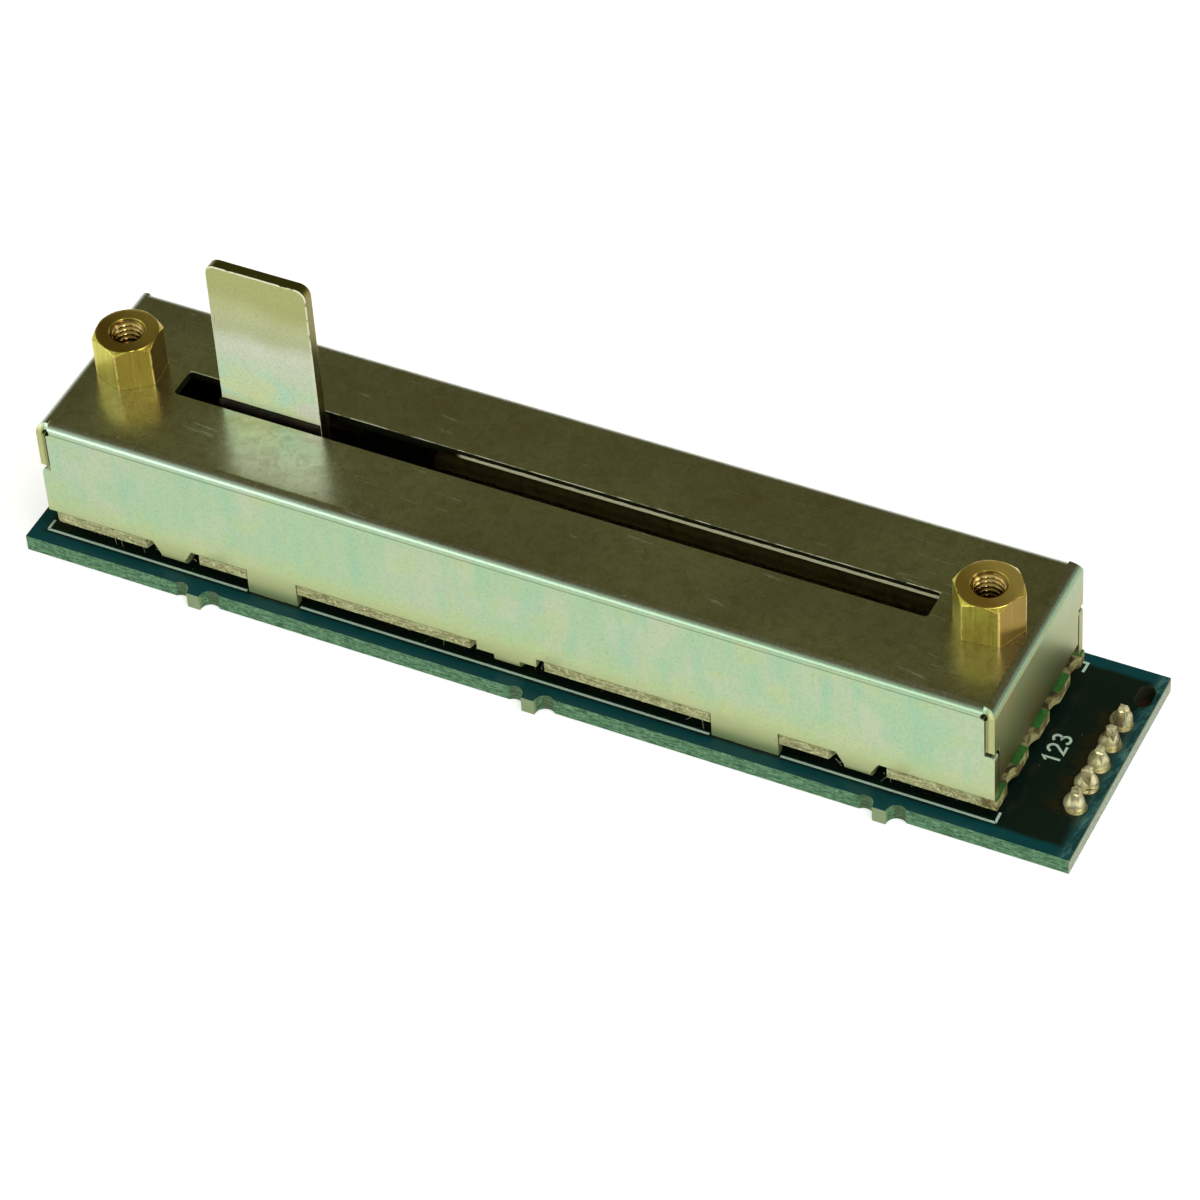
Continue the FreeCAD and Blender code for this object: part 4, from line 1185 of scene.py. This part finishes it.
@dataclass
class Studio:
    """Pale floor, soft lamps and the camera."""

    azimuth: float = 28.7976
    elevation: float = 44.6824
    roll: float = -4.2639
    eye: tuple[float, float, float] = (156.735, -282.603, 321.703)
    lens: float = 160.03
    floor_level: float = -0.05
    floor_half: float = 3000.0
    floor_glow: float = 0.6
    shade: tuple[float, float] = (48.6, 10.9)

    def camera(self) -> None:
        """Camera with its back vector from azimuth and elevation, then rolled."""
        a, e, r = (math.radians(v) for v in (self.azimuth, self.elevation, self.roll))
        back = Vector((math.sin(a) * math.cos(e), -math.cos(a) * math.cos(e), math.sin(e)))
        level = Vector((0, 0, 1)).cross(back).normalized()
        upright = back.cross(level)
        right = level * math.cos(r) + upright * math.sin(r)
        up = upright * math.cos(r) - level * math.sin(r)
        data = bpy.data.cameras.new("camera")
        data.lens = self.lens
        data.sensor_width = 36.0
        data.clip_start, data.clip_end = 0.01, 20.0
        piece = put("camera", data)
        turned = Matrix((right, up, back)).transposed().to_4x4()
        piece.matrix_world = Matrix.Translation(Vector(self.eye) * MM) @ turned
        bpy.context.scene.camera = piece

    def lamp(self, name: str, at: tuple[float, float, float], size: tuple[float, float],
             power: float) -> None:
        """Area lamp aimed at the object.

        Args:
            name: Lamp name.
            at: Place in metres.
            size: Two sides in metres.
            power: Watts.
        """
        data = bpy.data.lights.new(name, "AREA")
        data.shape = "RECTANGLE"
        data.size, data.size_y = size
        data.energy = power
        piece = put(name, data)
        aim = Vector((0, 0, 0.01)) - Vector(at)
        piece.rotation_mode = "QUATERNION"
        piece.rotation_quaternion = aim.to_track_quat("-Z", "Y")
        piece.location = at

    def floor(self) -> None:
        """Pale floor that keeps the object's shadow, with a painted shadow where the board covers
        it.
        """
        half, level = self.floor_half, self.floor_level
        corners = np.array([[-half, -half, level], [half, -half, level],
                            [half, half, level], [-half, half, level]])
        mesh = new_mesh("floor", corners, [(0, 1, 2, 3)])
        bench = Bench("floor_white")
        rays = bench.node("ShaderNodeLightPath")
        seen = Signal(bench, rays.outputs["Is Camera Ray"])
        for ray in ("Is Glossy Ray", "Is Transmission Ray"):
            seen = seen.highest(Signal(bench, rays.outputs[ray]))
        place = bench.place()
        # Under the board the floor is dark and does not glow: a painted shadow.
        covered = abs(place.x).step(self.shade[0] + 0.1, self.shade[0] - 0.1)
        covered = covered * abs(place.y).step(self.shade[1] + 0.1, self.shade[1] - 0.1)
        glow = bench.node("ShaderNodeEmission", None, {
            "Color": (1.0, 1.0, 1.0), "Strength": seen * (1.0 - covered) * self.floor_glow})
        plain = bench.node("ShaderNodeBsdfDiffuse", None, {
            "Color": bench.mix(covered, (0.86, 0.86, 0.86), (0.035, 0.022, 0.012))})
        both = bench.node("ShaderNodeAddShader", None, {0: plain.outputs[0], 1: glow.outputs[0]})
        bench.node("ShaderNodeOutputMaterial", None, {"Surface": both.outputs[0]})
        mesh.materials.append(bench.material)
        piece = put("floor", mesh)

    def world(self) -> None:
        """Surroundings: pale near the horizon and in front, a dim olive above."""
        bench = Bench("studio", world=True)
        bpy.context.scene.world = bench.material
        coordinates = bench.node("ShaderNodeTexCoord")
        parts = bench.node("ShaderNodeSeparateXYZ", None, {0: coordinates.outputs["Generated"]})
        x, y, z = (Signal(bench, output) for output in parts.outputs)
        front = y.step(0.1, -0.5)
        patch = (x * -0.37 + y * 0.615 + z * 0.695).step(0.985, 0.9995)
        shade = bench.mix(patch, (0.071, 0.066, 0.0135), (0.100, 0.097, 0.030))
        shade = bench.mix(z.step(0.52, 0.12), shade, (0.50, 0.54, 0.50))
        shade = bench.mix(front * z.step(0.83, 0.46), shade, (0.78, 0.80, 0.74))
        backdrop, white = (
            bench.node("ShaderNodeBackground", None, {"Color": colour, "Strength": 1.0})
            for colour in (shade, (1.0, 1.0, 1.0)))
        rays = bench.node("ShaderNodeLightPath")
        both = bench.node("ShaderNodeMixShader", None, {
            0: rays.outputs["Is Camera Ray"], 1: backdrop.outputs[0], 2: white.outputs[0]})
        bench.node("ShaderNodeOutputWorld", None, {"Surface": both.outputs[0]})

    def build(self) -> None:
        """Sets the whole studio up."""
        bpy.context.scene.view_settings.view_transform = "Standard"
        self.camera()
        self.floor()
        self.world()
        self.lamp("key_softbox", (-0.55, -0.95, 0.18), (1.3, 0.32), 2.3)
        self.lamp("overhead_softbox", (0.45, -0.10, 1.0), (0.6, 0.6), 4.8)
        self.lamp("left_softbox", (-0.95, 0.13, 0.60), (0.4, 0.4), 1.5)
        self.lamp("side_softbox", (0.95, 0.25, 0.35), (0.4, 0.5), 1.0)


@dataclass
class Potentiometer:
    """The whole object: finishes first, then every piece."""

    finishes: dict[str, bpy.types.Material] = field(default_factory=dict)

    def prepare(self) -> None:
        """Writes every finish once."""
        makers: dict[str, Finish] = {
            "cover": CoverSteel(),
            "lever": LeverSteel("lever_chromate"),
            "brass": Brass(),
            "board": SolderMask(),
            "laminate": Laminate(),
            "support": Moulding("support_plastic"),
            "slider": Moulding("slider_plastic", (0.007, 0.005, 0.003),
                               (0.026, 0.017, 0.006), 0.6, 0.2),
            # Ground steel rods, painted dark brown: painted shade for the inside of the cover.
            "rod": TurnedMetal("ground_steel", (0.225, 0.17, 0.040), (0.15, 0.105, 0.018),
                               roughness=0.46, metallic=0.45),
            "solder": TurnedMetal("solder", (0.95, 0.88, 0.52), (0.10, 0.065, 0.018),
                                  (1.0, 1.0, 1.0), 0.30, 0.75, 0.55),
            "pin": TurnedMetal("pin_tin", (0.84, 0.78, 0.48), (0.26, 0.20, 0.07),
                               (3.0, 3.0, 0.5), 0.40, 1.0, 0.55),
            "terminal": TurnedMetal("tinned_brass", (0.72, 0.68, 0.52), (0.60, 0.46, 0.22),
                                    (1.5, 1.5, 1.5), 0.28),
            "wiper": TurnedMetal("spring_bronze", (0.70, 0.46, 0.26), (0.46, 0.28, 0.14),
                                 (0.4, 3.0, 3.0), 0.24),
            "carbon": Ink("carbon_ink", (0.02, 0.02, 0.022), (0.05, 0.05, 0.05)),
            "silver": Ink("silver_ink", (0.55, 0.55, 0.52), (0.36, 0.34, 0.28)),
            "print": Ink("print_ink", (0.56, 0.76, 0.62), (0.30, 0.50, 0.40), 0.45),
            "paper_fibre": Ink("paper_fibre", (0.62, 0.60, 0.44), (0.40, 0.36, 0.20), 0.6),
            "glass_fibre": Ink("glass_fibre", (0.40, 0.46, 0.26), (0.16, 0.26, 0.14), 0.4),
        }
        for key, maker in makers.items():
            self.finishes[key] = maker.make()

    def dress_nodes(self) -> None:
        """Materials for the CAD nodes that keep their shapes."""
        plain = {
            "circuit_board": "board", "substrate": "laminate", "resistance_track": "carbon",
            "collector_track": "silver", "guide_rod_front": "rod", "guide_rod_back": "rod",
            "rod_support_left": "support", "rod_support_right": "support",
            "carriage": "slider", "wiper": "wiper",
            "terminal_1": "terminal", "terminal_2": "terminal", "terminal_3": "terminal"}
        plain.update({f"header_pin_{n + 1}": "pin" for n in range(PIN_COUNT)})
        for node, key in plain.items():
            dress_node(node, self.finishes[key])

    def add_lever(self) -> None:
        """Lever: the CAD blade, shaded smooth over its rounded rims."""
        mesh = node_copy("lever", "lever_blade")
        smooth_by_angle(mesh, 30.0)
        piece = finish_piece("lever_blade", mesh, Body.SLIDER,
                             self.finishes["lever"], ["lever"])
        weigh_faces(piece)

    def add_fibres(self) -> None:
        """Fibres along the laminate's long edges and the nubs."""
        rng = np.random.default_rng(11)
        count, half_laminate = 260, 9.33
        x = rng.uniform(-46.0, 41.0, count)
        side = np.where(rng.uniform(size=count) < 0.62, -1.0, 1.0)
        roots = np.column_stack([x, AXIS_Y + side * half_laminate,
                                 rng.uniform(3.05, 3.95, count)])
        leave = np.column_stack([rng.normal(0, 0.9, count), side * 0.15,
                                 rng.normal(-0.25, 0.3, count)])
        Fibres("laminate_fibres", roots, leave, 0.42, 0.022, 3).build(
            "laminate", self.finishes["paper_fibre"])
        count = 220
        centres = NUB_MIDDLE + NUB_PITCH * rng.integers(-1, 2, count)
        side = np.where(rng.uniform(size=count) < 0.5, -1.0, 1.0)
        roots = np.column_stack([centres + rng.uniform(-0.55, 0.55, count), side * NUB_END,
                                 rng.uniform(0.2, 1.5, count)])
        leave = np.column_stack([rng.normal(0, 0.6, count), side * 0.02,
                                 rng.normal(0, 0.6, count)])
        Fibres("nub_fibres", roots, leave, 0.3, 0.016, 4).build(
            "solder_mask", self.finishes["glass_fibre"])

    def build(self) -> None:
        """Builds and dresses every piece in order."""
        self.prepare()
        self.dress_nodes()
        Cover().build(self.finishes["cover"])
        for side, x, turn in zip(("left", "right"), STANDOFF_X, STANDOFF_TURN):
            Standoff(side, x, turn).build(self.finishes["brass"])
        self.add_lever()
        for number in range(PIN_COUNT):
            HeaderJoint(number + 1, y=FIRST_PIN_Y - PIN_PITCH * number).build(
                self.finishes["solder"])
        Print().build(self.finishes["print"])
        self.add_fibres()


def main() -> None:
    """Builds the object and its studio."""
    logging.basicConfig(level=logging.INFO, format="%(name)s %(message)s")
    Potentiometer().build()
    Studio().build()


if __name__ == "__main__":
    main()
